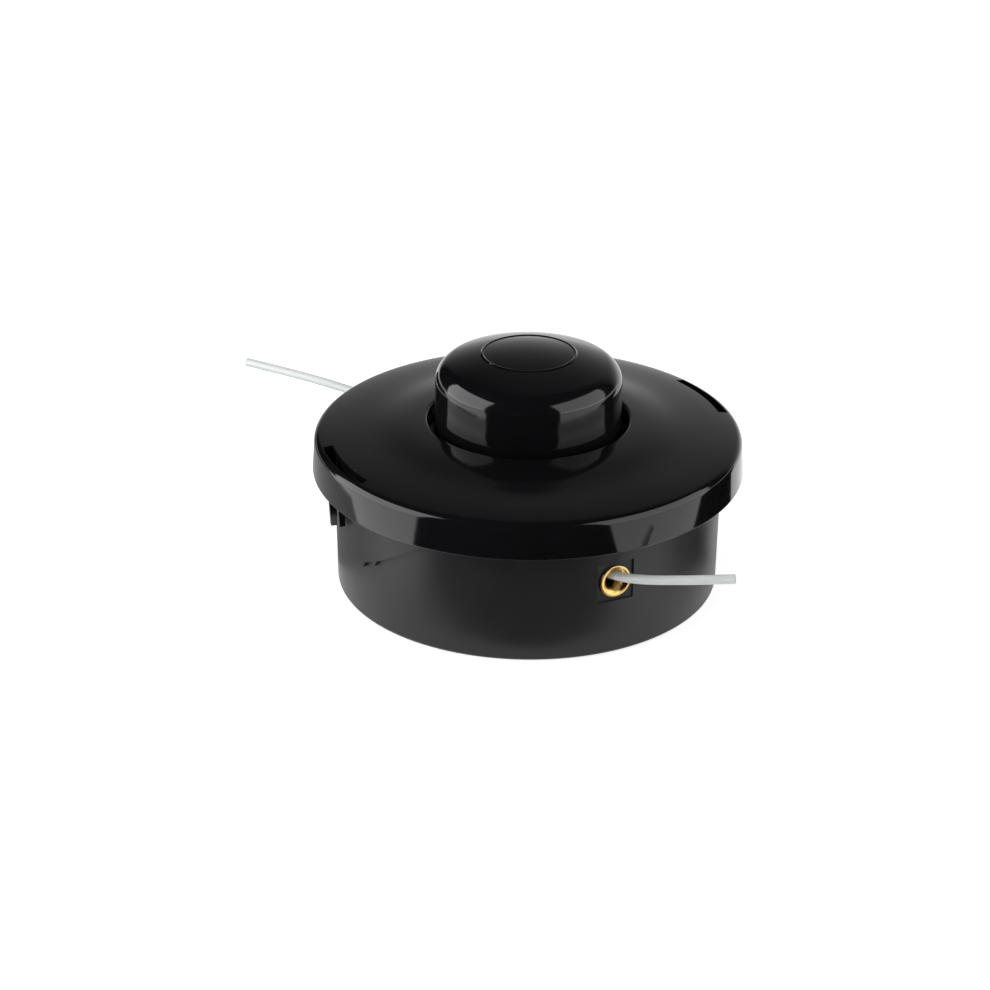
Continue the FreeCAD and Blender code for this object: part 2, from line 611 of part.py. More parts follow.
def winding(z0):
    """One channel of wound line as one solid, its outer layer of turns showing."""
    turn_r = (CHANNEL - 2 * LOOSE_GAP) / TURNS_ACROSS / 2
    r_in = BARREL_R + PRESS_GAP
    r_out = BARREL_R + WINDING_DEPTH - turn_r
    bottom = z0 + LOOSE_GAP
    top = bottom + 2 * turn_r * TURNS_ACROSS
    edges = [Part.makeLine(FreeCAD.Vector(r_in, 0, bottom), FreeCAD.Vector(r_out, 0, bottom))]
    for i in range(TURNS_ACROSS):
        low = bottom + 2 * turn_r * i
        a = FreeCAD.Vector(r_out, 0, low)
        b = FreeCAD.Vector(r_out + turn_r, 0, low + turn_r)
        c = FreeCAD.Vector(r_out, 0, low + 2 * turn_r)
        edges.append(Part.Arc(a, b, c).toShape())
    edges.append(Part.makeLine(FreeCAD.Vector(r_out, 0, top), FreeCAD.Vector(r_in, 0, top)))
    edges.append(Part.makeLine(FreeCAD.Vector(r_in, 0, top), FreeCAD.Vector(r_in, 0, bottom)))
    face = Part.Face(Part.Wire(edges))
    return face.revolve(FreeCAD.Vector(0, 0, 0), FreeCAD.Vector(0, 0, 1), 360)


def post_places():
    """Where the screw posts stand."""
    places = []
    for i in range(POSTS):
        angle = 2 * math.pi * i / POSTS
        places.append((POST_CIRCLE_R * math.cos(angle), POST_CIRCLE_R * math.sin(angle)))
    return places


def bump_knob():
    """The domed knob: shell, trapped flange, screw posts and the ring groove on its crown."""
    shell = capped(KNOB_R, FLANGE_TOP, KNOB_TOP, KNOB_CROWN_R, KNOB_SHOULDER)
    hollow = capped(KNOB_BORE_R, FLANGE_TOP - OVERLAP, KNOB_TOP - KNOB_WALL,
                    KNOB_CROWN_R - KNOB_WALL, KNOB_SHOULDER - KNOB_WALL)
    low = FLANGE_SEAT_Z - KNOB_FLANGE
    root = KNOB_R - KNOB_WALL / 2
    flange = lathe([
        (root, FLANGE_SEAT_Z), (KNOB_FLANGE_R, FLANGE_SEAT_Z, KNOB_FLANGE_EDGE),
        (KNOB_FLANGE_R, low, KNOB_FLANGE_EDGE), (root, low),
    ])
    extras = [flange]
    cuts = []
    post_top = KNOB_TOP - KNOB_WALL
    for x, y in post_places():
        extras.append(disc(POST_R, DECK_TOP, post_top, x, y))
        cuts.append(disc(SCREW_R + PRESS_GAP, DECK_TOP - OVERLAP, DECK_TOP + SCREW_LENGTH, x, y))
    groove_z = KNOB_TOP - KNOB_RING_R ** 2 / (2 * KNOB_CROWN_R)
    cuts.append(Part.makeTorus(KNOB_RING_R, KNOB_RING_WIRE, FreeCAD.Vector(0, 0, groove_z)))
    return joined(shell.cut(hollow), extras).cut(cuts)


def knob_screws():
    """Three identical pan-head screws, driven up through the spool's deck."""
    screws = []
    for x, y in post_places():
        head = disc(SCREW_HEAD_R, DECK_UNDER - SCREW_HEAD, DECK_UNDER, x, y)
        shank = disc(SCREW_R, DECK_UNDER - SCREW_HEAD / 2,
                     DECK_TOP + SCREW_LENGTH - SCREW_TIP_AIR, x, y)
        screws.append(joined(head, [shank]))
    return Part.makeCompound(screws)


def bump_spring():
    """The coil spring, wound as a helix with both ends ground flat."""
    z0 = SPRING_BASE_Z + SPRING_GRIND
    z1 = SPRING_TOP_Z - SPRING_GRIND
    height = z1 - z0
    helix = Part.makeHelix(height / SPRING_TURNS, height, SPRING_MEAN_R)
    helix.translate(FreeCAD.Vector(0, 0, z0))
    start = FreeCAD.Vector(SPRING_MEAN_R, 0, z0)
    circle = Part.Wire(Part.makeCircle(SPRING_WIRE_R, start, FreeCAD.Vector(0, 1, 0)))
    wire = Part.Wire(helix.Edges).makePipeShell([circle], True, True)
    reach = 2 * SPRING_WIRE_R
    span = ring(SPRING_MEAN_R - reach, SPRING_MEAN_R + reach, SPRING_BASE_Z, SPRING_TOP_Z)
    return wire.common(span)


def tail_route(points, side):
    """The points of a free end, placed at the front eyelet or mirrored to the rear one."""
    return [(side * (BOSS_X + out), across, EYELET_Z + up) for out, across, up in points]


def tube_along(points, diameter):
    """A round tube on straight runs joined by tangent arcs, each as large as its runs allow."""
    nodes = [FreeCAD.Vector(*p) for p in points]
    edges = []
    here = nodes[0]
    for i in range(1, len(nodes) - 1):
        back = nodes[i - 1] - nodes[i]
        ahead = nodes[i + 1] - nodes[i]
        shorter = min(back.Length, ahead.Length)
        half = (math.pi - back.getAngle(ahead)) / 2
        radius = 0.45 * shorter / math.tan(half)
        reach = 0.45 * shorter
        back.normalize()
        ahead.normalize()
        first = nodes[i] + back * reach
        last = nodes[i] + ahead * reach
        inward = (back + ahead).normalize()
        middle = nodes[i] + inward * (radius / math.cos(half) - radius)
        edges.append(Part.LineSegment(here, first).toShape())
        edges.append(Part.Arc(first, middle, last).toShape())
        here = last
        print("bend radius", round(radius, 1), "mm, turn", round(math.degrees(2 * half), 1))
    edges.append(Part.LineSegment(here, nodes[-1]).toShape())
    path = Part.Wire(edges)
    circle = Part.makeCircle(diameter / 2, nodes[0], nodes[1] - nodes[0])
    tube = path.makePipeShell([Part.Wire(circle)], True, False)
    swept = math.pi * diameter ** 2 / 4 * path.Length
    print("tube length", round(path.Length, 1), "volume share", round(tube.Volume / swept, 4))
    return tube


def save(name, shape):
    """Write one sub-part and say how many solids it has."""
    if not shape.isValid():
        raise RuntimeError(name + " is not a valid shape")
    shape.exportStep("parts/" + name + ".step")
    print(name, len(shape.Solids), "solid(s)", round(shape.Volume / 1000.0, 2), "cm3")


def main():
    """Build every sub-part where it lies in the assembled head."""
    os.makedirs("parts", exist_ok=True)
    save("housing", housing())
    save("cover", cover())
    save("eyelet_front", eyelet())
    save("eyelet_rear", turned(eyelet(), 180))
    save("drive_insert", drive_insert())
    save("insert_washer", insert_washer())
    save("insert_circlip", insert_circlip())
    save("hub_sleeve", ring(HUB_R + PRESS_GAP, SLEEVE_R, FLOOR, HUB_TOP))
    save("spring_base_washer", ring(SLEEVE_R + LOOSE_GAP, SPRING_WASHER_R, FLOOR, SPRING_BASE_Z))
    save("bump_spring", bump_spring())
    save("spring_top_washer",
         ring(SLEEVE_R + SLIDE_GAP, SPRING_WASHER_R, SPRING_TOP_Z, CORE_BOTTOM))
    save("spool", spool())
    save("spool_bush", ring(BUSH_IN_R, BUSH_R, CORE_BOTTOM, CORE_BOTTOM + BUSH_LENGTH))
    save("line_winding_lower", winding(LOWER_CHANNEL_Z))
    save("line_winding_upper", winding(UPPER_CHANNEL_Z))
    save("bump_knob", bump_knob())
    save("knob_screws", knob_screws())
    save("line_tail_front", tube_along(tail_route(FRONT_TAIL, 1), LINE_D))
    save("line_tail_rear", tube_along(tail_route(REAR_TAIL, -1), LINE_D))


main()
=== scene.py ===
# %% [markdown]
# # A bump-feed trimmer head
# The real thing is a string trimmer's line head: a black moulded cup that holds a spool of nylon
# line, a glossy lid that snaps over it, and a domed knob that is bumped on the ground to let out
# more line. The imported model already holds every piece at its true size, so this notebook only
# dresses it. It loads that model, places the camera, lays the two ends of line, and then rebuilds
# the pieces that show as fine smooth surfaces.

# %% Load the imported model
import math

import bmesh
import bpy
import numpy as np
from mathutils import Matrix, Vector


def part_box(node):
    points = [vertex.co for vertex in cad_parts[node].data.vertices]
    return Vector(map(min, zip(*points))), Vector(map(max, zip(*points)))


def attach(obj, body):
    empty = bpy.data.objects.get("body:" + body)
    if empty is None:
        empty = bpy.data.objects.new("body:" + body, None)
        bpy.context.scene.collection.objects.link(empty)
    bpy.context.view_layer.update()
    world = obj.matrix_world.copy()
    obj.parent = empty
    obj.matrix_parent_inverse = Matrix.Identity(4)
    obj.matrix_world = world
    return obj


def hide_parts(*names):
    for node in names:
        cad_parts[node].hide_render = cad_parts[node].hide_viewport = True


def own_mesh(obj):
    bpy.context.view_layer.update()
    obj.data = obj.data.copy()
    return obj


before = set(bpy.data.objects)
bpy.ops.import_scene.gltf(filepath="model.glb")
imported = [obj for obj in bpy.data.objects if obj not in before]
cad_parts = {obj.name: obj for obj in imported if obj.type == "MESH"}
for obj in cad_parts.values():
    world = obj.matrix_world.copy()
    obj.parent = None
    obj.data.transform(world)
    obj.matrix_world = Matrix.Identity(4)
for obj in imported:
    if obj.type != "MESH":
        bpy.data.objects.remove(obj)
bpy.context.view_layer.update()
MM = 0.001


def put(name, data):
    """A new object in the scene that shows this data."""
    made = bpy.data.objects.new(name, data)
    bpy.context.scene.collection.objects.link(made)
    return made


# %% [markdown]
# ## Camera
# A product photograph like this one is taken with a long lens from most of a metre away, a little
# above the lid. The place and the tilt below put the rims, the eyelet and the knob where the
# photograph has them. The three directions of the view are worked out first, and the matrix of
# them is the camera's rotation.

# %% Camera
CAMERA_DISTANCE = 772.9
CAMERA_HEIGHT = 394.6
CAMERA_SIDE = -2.6
VIEW_AZIMUTH = 63.88
VIEW_TILT = 25.56
VIEW_YAW = -0.52
VIEW_ROLL = 0.34
SENSOR = 36.0
FOCAL = 105.15
CLIP = (0.05, 20.0)


def view_rotation():
    """Columns are right, up and backward: forward is tilted down, then right and up are rolled."""
    yaw, tilt, roll = (math.radians(a) for a in (VIEW_YAW, VIEW_TILT, VIEW_ROLL))
    forward = Vector((math.sin(yaw) * math.cos(tilt), math.cos(yaw) * math.cos(tilt),
                      -math.sin(tilt)))
    right = Vector((math.cos(yaw), -math.sin(yaw), 0.0))
    up = right.cross(forward)
    rolled_right = right * math.cos(roll) + up * math.sin(roll)
    rolled_up = up * math.cos(roll) - right * math.sin(roll)
    return Matrix((rolled_right, rolled_up, -forward)).transposed().to_4x4()


def make_camera():
    """A camera in front of the origin, turned with its whole view about +Z."""
    data = bpy.data.cameras.new("studio_camera")
    data.sensor_width = SENSOR
    data.lens = FOCAL
    data.clip_start, data.clip_end = CLIP
    camera = put("studio_camera", data)
    place = Matrix.Translation(Vector((CAMERA_SIDE, -CAMERA_DISTANCE, CAMERA_HEIGHT)) * MM)
    turn = Matrix.Rotation(math.radians(VIEW_AZIMUTH), 4, "Z")
    camera.matrix_world = turn @ place @ view_rotation()
    bpy.context.scene.camera = camera
    return camera


camera = make_camera()
print("camera at", [round(x, 3) for x in camera.matrix_world.translation])

# %% [markdown]
# ## Nodes by name
# Materials, the floor's glow and the world are all small trees of nodes. Written out call by call
# they would hide what they do. So one short function places a node, one sets its inputs by name,
# and one chains sums, products and other maths.


# %% Node helpers
def node(tree, kind, x, y, **settings):
    """A node at a place in its tree, with its settings."""
    made = tree.nodes.new(kind)
    made.location = (x, y)
    for key, value in settings.items():
        setattr(made, key, value)
    return made


def fill(made, values):
    """Sets a node's inputs by name and gives the node back."""
    for key, value in values.items():
        made.inputs[key].default_value = value
    return made


def maths(tree, operation, x, y, *values):
    """A Math node; each value is a number or a socket to link."""
    made = node(tree, "ShaderNodeMath", x, y, operation=operation)
    for i, value in enumerate(values):
        if isinstance(value, (int, float)):
            made.inputs[i].default_value = value
        else:
            tree.links.new(value, made.inputs[i])
    return made.outputs[0]


print("node helpers", [helper.__name__ for helper in (node, fill, maths)])

# %% [markdown]
# ## The skin of a moulding
# Every moulded piece shares one effect: a skin that is never quite even, because the mould's own
# surface prints on it. It could be an image, but noise needs no file and is sharp at any distance.
# It is a node group with named sockets, built once. It gives a height for bump and a mask that
# shifts roughness. The shader itself stays in each material, because gloss and Fresnel have to be
# read there when the model is exported.

# %% The moulded skin group
GRAIN_DETAIL = 3.0
CLOUD_DETAIL = 4.0
SKIN_INPUTS = {"Grain Scale": 900.0, "Cloud Scale": 40.0, "Cloud Depth": 0.5}


def socket(group, name, way, value=0.0):
    """One named number socket on a node group."""
    made = group.interface.new_socket(name=name, in_out=way, socket_type="NodeSocketFloat")
    made.default_value = value


def moulded_skin():
    """Height is fine noise plus a slow wave; mask is broad noise. Both are read in object space."""
    group = bpy.data.node_groups.new("moulded_skin", "ShaderNodeTree")
    for name, value in SKIN_INPUTS.items():
        socket(group, name, "INPUT", value)
    socket(group, "Height", "OUTPUT")
    socket(group, "Mask", "OUTPUT")
    take = node(group, "NodeGroupInput", -800, 0)
    give = node(group, "NodeGroupOutput", 600, 0)
    place = node(group, "ShaderNodeTexCoord", -800, -250)
    grain = fill(node(group, "ShaderNodeTexNoise", -450, 150), {"Detail": GRAIN_DETAIL})
    cloud = fill(node(group, "ShaderNodeTexNoise", -450, -150), {"Detail": CLOUD_DETAIL})
    link = group.links.new
    for noise, scale in ((grain, "Grain Scale"), (cloud, "Cloud Scale")):
        link(place.outputs["Object"], noise.inputs["Vector"])
        link(take.outputs[scale], noise.inputs["Scale"])
    wave = maths(group, "MULTIPLY", -150, -60, cloud.outputs["Fac"],
                 take.outputs["Cloud Depth"])
    link(maths(group, "ADD", 120, 60, grain.outputs["Fac"], wave), give.inputs["Height"])
    link(cloud.outputs["Fac"], give.inputs["Mask"])
    return group


skin_group = moulded_skin()
print("skin group sockets", [item.name for item in skin_group.interface.items_tree])

# %% [markdown]
# ## From a mask to a finish
# Noise spends nearly all its time between 0.3 and 0.7. So a mask is stretched over that range
# before it sets a roughness or a colour, or the finish would look flatter than its two ends say.
# Bump leans the light by a height without moving the surface, which is enough for grain this fine.

# %% Material helpers
MASK_LOW, MASK_HIGH = 0.3, 0.7


def new_material(name):
    """A material with a plain Principled BSDF, with its tree and its shader."""
    material = bpy.data.materials.new(name)
    material.use_nodes = True
    tree = material.node_tree
    shader = tree.nodes["Principled BSDF"]
    shader.location = (500, 0)
    tree.nodes["Material Output"].location = (800, 0)
    return material, tree, shader


def spread(tree, source, low, high, x, y):
    """Stretches a mask's usual range onto the range from low to high."""
    made = fill(node(tree, "ShaderNodeMapRange", x, y),
                {"From Min": MASK_LOW, "From Max": MASK_HIGH, "To Min": low, "To Max": high})
    tree.links.new(source, made.inputs["Value"])
    return made.outputs["Result"]


def tint(tree, source, dark, light, x, y):
    """A colour that goes from dark to light with a mask."""
    ramp = node(tree, "ShaderNodeValToRGB", x, y)
    ends = ramp.color_ramp.elements
    ends[0].position, ends[0].color = MASK_LOW, (*dark, 1.0)
    ends[1].position, ends[1].color = MASK_HIGH, (*light, 1.0)
    tree.links.new(source, ramp.inputs["Fac"])
    return ramp.outputs["Color"]


def bump(tree, source, strength, distance, x, y):
    """A bump node fed by a height, with its depth in metres."""
    made = fill(node(tree, "ShaderNodeBump", x, y),
                {"Strength": strength, "Distance": distance})
    tree.links.new(source, made.inputs["Height"])
    return made.outputs["Normal"]


def coat(tree, shader, mask, colours, gloss, height, strength, depth):
    """Feeds a shader: a mask shifts its colour and its roughness, and a height bumps it."""
    link = tree.links.new
    link(tint(tree, mask, *colours, -150, 220), shader.inputs["Base Color"])
    link(spread(tree, mask, *gloss, -150, -40), shader.inputs["Roughness"])
    link(bump(tree, height, strength, depth, -150, -300), shader.inputs["Normal"])


print("masks are read from", MASK_LOW, "to", MASK_HIGH)

# %% [markdown]
# ## Moulded plastics
# The lid and the knob come out of a polished mould, so they mirror the studio lamps almost
# sharply. The cup comes out of a finely eroded mould and is satin. Both are the same black
# plastic, so one function makes them, with its own roughness, grain and depth for each. The cup's
# specular level is lower, because its fine pits swallow part of what a smooth skin would mirror.

# %% Plastics
CLOUD_SCALE = 38.0
GRAIN_STRENGTH = 0.6
PLASTIC_IOR = 1.5


def moulded_plastic(name, colours, gloss, grain_scale, depth, cloud_depth, shine=0.5):
    """Black plastic: colour and roughness follow the skin's mask, bump follows its height."""
    material, tree, shader = new_material(name)
    skin = fill(node(tree, "ShaderNodeGroup", -500, 0, node_tree=skin_group),
                {"Grain Scale": grain_scale, "Cloud Scale": CLOUD_SCALE,
                 "Cloud Depth": cloud_depth})
    coat(tree, shader, skin.outputs["Mask"], colours, gloss, skin.outputs["Height"],
         GRAIN_STRENGTH, depth)
    fill(shader, {"IOR": PLASTIC_IOR, "Specular IOR Level": shine})
    return material


gloss_black = moulded_plastic("gloss_black", [(0.004, 0.004, 0.0045), (0.006, 0.006, 0.007)],
                              (0.07, 0.11), 700.0, 0.000004, 2.0)
satin_black = moulded_plastic("satin_black", [(0.015, 0.015, 0.016), (0.021, 0.021, 0.022)],
                              (0.36, 0.44), 2600.0, 0.00002, 0.3, shine=0.32)
spool_black = moulded_plastic("spool_black", [(0.018, 0.018, 0.02), (0.028, 0.028, 0.031)],
                              (0.4, 0.52), 2000.0, 0.00002, 0.5)
print("plastics", gloss_black.name, satin_black.name, spool_black.name)

# %% [markdown]
# ## Metals
# The eyelets are brass turned on a lathe, so fine rings run round their own axis and carry the
# light in streaks. The steel pieces inside are plated or drawn. A turned finish could also be
# anisotropic gloss, but that needs tangents. A wave of rings round an axis, broken up by a little
# noise, gives the same streaks from height alone.

# %% Metals
WEAR = {"Scale": 180.0, "Detail": 5.0}
RINGS = {"Distortion": 1.2, "Detail": 3.0, "Detail Scale": 6.0}
RING_STRENGTH = 0.5


def metal(name, colours, gloss, ring_scale, axis, depth):
    """A metal: rings round an axis give its height, and noise shifts its colour and gloss."""
    material, tree, shader = new_material(name)
    place = node(tree, "ShaderNodeTexCoord", -1100, 0)
    rings = fill(node(tree, "ShaderNodeTexWave", -600, 100, wave_type="RINGS",
                      rings_direction=axis), {"Scale": ring_scale, **RINGS})
    cloud = fill(node(tree, "ShaderNodeTexNoise", -600, -250), WEAR)
    for pattern in (rings, cloud):
        tree.links.new(place.outputs["Object"], pattern.inputs["Vector"])
    coat(tree, shader, cloud.outputs["Fac"], colours, gloss, rings.outputs["Fac"],
         RING_STRENGTH, depth)
    fill(shader, {"Metallic": 1.0})
    return material


brass = metal("turned_brass", [(0.80, 0.50, 0.16), (0.92, 0.66, 0.28)], (0.20, 0.34),
              900.0, "X", 0.00001)
bronze = metal("sintered_bronze", [(0.42, 0.24, 0.10), (0.56, 0.34, 0.16)], (0.35, 0.5),
               1500.0, "Z", 0.00001)
zinc = metal("zinc_plate", [(0.50, 0.51, 0.53), (0.66, 0.67, 0.68)], (0.28, 0.42),
             1200.0, "Z", 0.000008)
steel = metal("drawn_steel", [(0.30, 0.30, 0.31), (0.42, 0.42, 0.43)], (0.25, 0.38),
              1600.0, "Z", 0.000008)
print("metals", [m.name for m in (brass, bronze, zinc, steel)])

# %% [markdown]
# ## Nylon
# Trimmer line is extruded nylon: milky, a little see-through, with faint lines along its length
# from the die. Both ends run roughly the same way, so one noise, stretched along that way, draws
# the lines on both. The body scatters most of the light and a small part of it passes through.

# %% Nylon
LINE_HEADING = 35.0
STREAK_STRETCH = 30.0
STREAKS = {"Scale": 700.0, "Detail": 2.0}
NYLON_COLOURS = [(0.80, 0.85, 0.84), (0.90, 0.93, 0.92)]
NYLON_GLOSS = (0.16, 0.24)
STREAK_BUMP = (0.3, 0.00001)


def nylon_line():
    """Milky plastic: noise stretched along the line shifts its colour, gloss and height."""
    material, tree, shader = new_material("nylon_line")
    place = node(tree, "ShaderNodeTexCoord", -1200, 0)
    turned = fill(node(tree, "ShaderNodeMapping", -1000, 0, vector_type="TEXTURE"),
                  {"Rotation": (0.0, 0.0, math.radians(LINE_HEADING)),
                   "Scale": (STREAK_STRETCH, 1.0, 1.0)})
    streaks = fill(node(tree, "ShaderNodeTexNoise", -650, 0), STREAKS)
    tree.links.new(place.outputs["Object"], turned.inputs["Vector"])
    tree.links.new(turned.outputs["Vector"], streaks.inputs["Vector"])
    coat(tree, shader, streaks.outputs["Fac"], NYLON_COLOURS, NYLON_GLOSS,
         streaks.outputs["Fac"], *STREAK_BUMP)
    fill(shader, {"Transmission Weight": 0.15, "IOR": PLASTIC_IOR})
    return material


nylon = nylon_line()
print("nylon", nylon.name, "streaks run at", LINE_HEADING, "degrees")

# %% [markdown]
# ## The two ends of line
# Nylon this thick is stiff: cut short, it keeps the curl of the spool and stands out of its eyelet
# by itself. Each end is a NURBS curve led by the points below, so it leaves its eyelet straight
# and then curls one way. The order and the end rule are set after the points, because set before
# them they don't hold.

# %% Line ends
LINE_D = 2.7
FRONT_TAIL = [
    (51.3, -0.3, 23.1), (58.0, 0.5, 24.6), (64.6, 4.3, 26.0),
    (70.6, 10.2, 27.4), (76.3, 17.1, 28.7), (81.0, 24.3, 29.6),
]
REAR_TAIL = [
    (-51.3, 0.3, 22.2), (-58.0, -0.5, 23.1), (-65.6, -4.3, 24.4), (-76.0, -10.6, 25.8),
    (-89.6, -18.7, 26.9), (-106.0, -29.5, 27.8), (-122.6, -41.4, 28.0),
]


def line_end(name, points, node_name):
    """A round NURBS tube along the control points, riding on the root in place of the node."""
    curve = bpy.data.curves.new(name, "CURVE")
    curve.dimensions = "3D"
    curve.bevel_depth = LINE_D / 2 * MM
    curve.bevel_resolution = 8
    curve.resolution_u = 16
    curve.use_fill_caps = True
    spline = curve.splines.new("NURBS")
    spline.points.add(len(points) - 1)
    route = np.ones((len(points), 4), np.float32)
    route[:, :3] = np.array(points) * MM
    spline.points.foreach_set("co", route.ravel())
    spline.order_u = 3
    spline.use_endpoint_u = True
    piece = put(name, curve)
    curve.materials.append(nylon)
    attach(piece, "root")
    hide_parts(node_name)


line_end("nylon_front", FRONT_TAIL, "line_tail_front")
line_end("nylon_rear", REAR_TAIL, "line_tail_rear")

# %% [markdown]
# ## Grids that become one shell
# A moulding is one piece of plastic, but its wall, ribs and bosses are easier to work out one by
# one. So a shell collects them: each is a grid of points from numpy, and the faces are quads
# between neighbours in the grid. Windows can be left open in a grid, and two rows of point numbers
# can be joined by more quads. That keeps every step a whole array, with no loop over points.


# %% Shells of points and faces
class Shell:
    """Points and faces of one piece, in millimetres, gathered from whole grids."""

    def __init__(self):
        self.points = []
        self.faces = []
        self.count = 0

    def add_points(self, points):
        """Stores points of any grid shape and returns their numbers in the same shape."""
        shape = points.shape[:-1]
        numbers = np.arange(self.count, self.count + int(np.prod(shape))).reshape(shape)
        self.points.append(points.reshape(-1, 3))
        self.count += numbers.size
        return numbers

    def join(self, a, b, loop=True):
        """Quads between two rows of numbers, round a loop or along an open row."""
        a2 = np.roll(a, -1)
        b2 = np.roll(b, -1)
        quads = np.stack([a, a2, b2, b], axis=-1)
        self.faces += (quads if loop else quads[:-1]).tolist()

    def grid(self, points, rows_loop=False, holes=()):
        """Quads over a grid of points; holes are (row, end row, column, end column) left open."""
        n = self.add_points(points)
        down = np.roll(n, -1, axis=0)
        right = np.roll(n, -1, axis=1)
        both = np.roll(down, -1, axis=1)
        quads = np.stack([n, right, both, down], axis=-1)
        keep = np.ones(n.shape, bool)
        if not rows_loop:
            keep[-1] = False
        for row, row_end, column, column_end in holes:
            keep[row:row_end, column:column_end] = False
        self.faces += quads[keep].tolist()
        return n

    def plug(self, ring):
        """One flat face over a closed ring of numbers."""
        self.faces.append(ring.tolist())

    def bar(self, sections):
        """A closed bar: each section is a ring of points, and both ends are plugged."""
        n = self.grid(sections)
        self.plug(n[0])
        self.plug(n[-1])


sample = Shell()
sample.grid(np.zeros((3, 4, 3)))
print("a grid of 3 rows and 4 columns gives", len(sample.faces), "quads")

# %% [markdown]
# ## The lathe
# Almost every piece here is round. A lathe carries an outline of radius and height round an axis,
# as one grid of points, and the outline itself is a short list of corners. A sharp corner would
# look false on a moulding, so each corner may have a rounding, drawn as an arc that touches both of
# its sides.


# %% Outlines and the lathe
def arc_turns(count):
    """Evenly spaced angles of one whole turn."""
    return np.arange(count) * (2 * np.pi / count)


def polar(r, angle, z):
    """Points at a radius, an angle and a height, as whole arrays: x = r cos a, y = r sin a."""
    r, angle, z = np.broadcast_arrays(r, angle, z)
    return np.stack([r * np.cos(angle), r * np.sin(angle), z], axis=-1)


def lathe(outline, turns):
    """Radius and height of each outline point carried round +Z to each of the angles."""
    return polar(outline[:, :1], turns, outline[:, 1:])


def rounded(corners, steps=6):
    """Corners of (r, z, rounding) as a row of points; each rounding is a tangent arc."""
    c = np.array(corners, float)
    spot = c[:, :2]
    back = np.roll(spot, 1, axis=0) - spot
    ahead = np.roll(spot, -1, axis=0) - spot
    rows = []
    for p, a, b, r in zip(spot, back, ahead, c[:, 2]):
        if r == 0.0:
            rows.append(p[None])
            continue
        a = a / np.hypot(*a)
        b = b / np.hypot(*b)
        half = math.acos(float(a @ b)) / 2
        middle = (a + b) / np.hypot(*(a + b)) * r / math.sin(half)
        reach = r / math.tan(half)
        start = a * reach - middle
        end = b * reach - middle
        span = math.pi - 2 * half
        t = np.linspace(0, 1, steps + 1)[:, None]
        turn = (np.sin((1 - t) * span) * start + np.sin(t * span) * end) / math.sin(span)
        rows.append(p + middle + turn)
    return np.concatenate(rows)


print("a rounded square has", len(rounded([(0, 0, 1), (9, 0, 1), (9, 9, 1), (0, 9, 1)])), "points")

# %% [markdown]
# ## Bars
# Ribs, stops, legs and webs are short bars with a four-cornered section. One kind follows the
# round wall, the other runs straight outwards. Each is a row of sections, closed at both ends, and
# sinks a little into the wall that carries it, as a moulded rib has no gap at its root.


# %% Bars round the axis and outwards from it
def sector(r_in, r_out, low, high, middle, angle, steps=12):
    """Sections of a ring segment: a rectangle of radius and height at each azimuth, in degrees."""
    az = np.radians(np.linspace(middle - angle / 2, middle + angle / 2, steps + 1))
    return polar(np.array([r_in, r_out, r_out, r_in]), az[:, None],
                 np.array([low, low, high, high]))


def radial_bar(r_in, r_out, thickness, low, high, azimuth):
    """Sections of a straight bar that runs outwards at an azimuth."""
    az = math.radians(azimuth)
    along = np.array([math.cos(az), math.sin(az), 0])
    across = np.array([-math.sin(az), math.cos(az), 0]) * thickness / 2
    up = np.array([0, 0, 1.0])
    section = np.stack([-across + up * low, across + up * low, across + up * high,
                        -across + up * high])
    return section + along * np.array([r_in, r_out])[:, None, None]


def evenly_round(angle, count):
    """The angle and its copies evenly round a turn, in degrees."""
    return [angle + 360.0 / count * i for i in range(count)]


print("four stops stand at", evenly_round(45.0, 4))

# %% [markdown]
# ## From a shell to a piece
# The grids meet in seams and poles, so doubled points are merged and the faces are turned
# outwards. The very edges of a moulding are never sharp: a small bevel modifier rounds them, and
# only where two faces meet at a real edge. Every piece rides on a body of the model and stands in
# for the solids that it replaces.

# %% Make a piece
SAME_POINT = 1e-6
NO_AREA = 1e-7
REAL_EDGE = 32.0


def make_piece(name, shell, material, body, nodes, edge=0.0):
    """A smooth mesh out of a shell, with its finish, its body and the nodes that it replaces."""
    mesh = bpy.data.meshes.new(name)
    mesh.from_pydata((np.concatenate(shell.points) * MM).tolist(), [], shell.faces)
    work = bmesh.new()
    work.from_mesh(mesh)
    bmesh.ops.remove_doubles(work, verts=work.verts, dist=SAME_POINT)
    bmesh.ops.dissolve_degenerate(work, edges=work.edges, dist=NO_AREA)
    bmesh.ops.recalc_face_normals(work, faces=work.faces)
    for face in work.faces:
        face.smooth = True
    open_edges = sum(1 for e in work.edges if not e.is_manifold)
    work.to_mesh(mesh)
    work.free()
    mesh.materials.append(material)
    piece = put(name, mesh)
    if edge > 0.0:
        bevel = piece.modifiers.new("soft_edges", "BEVEL")
        bevel.width = edge * MM
        bevel.segments = 2
        bevel.limit_method = "ANGLE"
        bevel.angle_limit = math.radians(REAL_EDGE)
        bevel.harden_normals = True
    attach(piece, body)
    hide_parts(*nodes)
    print(name, "faces", len(mesh.polygons), "open edges", open_edges)
    return piece


print("edges over", REAL_EDGE, "degrees get a soft bevel")

# %% [markdown]
# ## The lid
# The lid is a shallow dome with a skirt, a rounded opening for the knob and two slots that let the
# mould reach the latches underneath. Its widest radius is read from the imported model, so the
# dressed lid can't grow past the solid one, and the others follow from it.

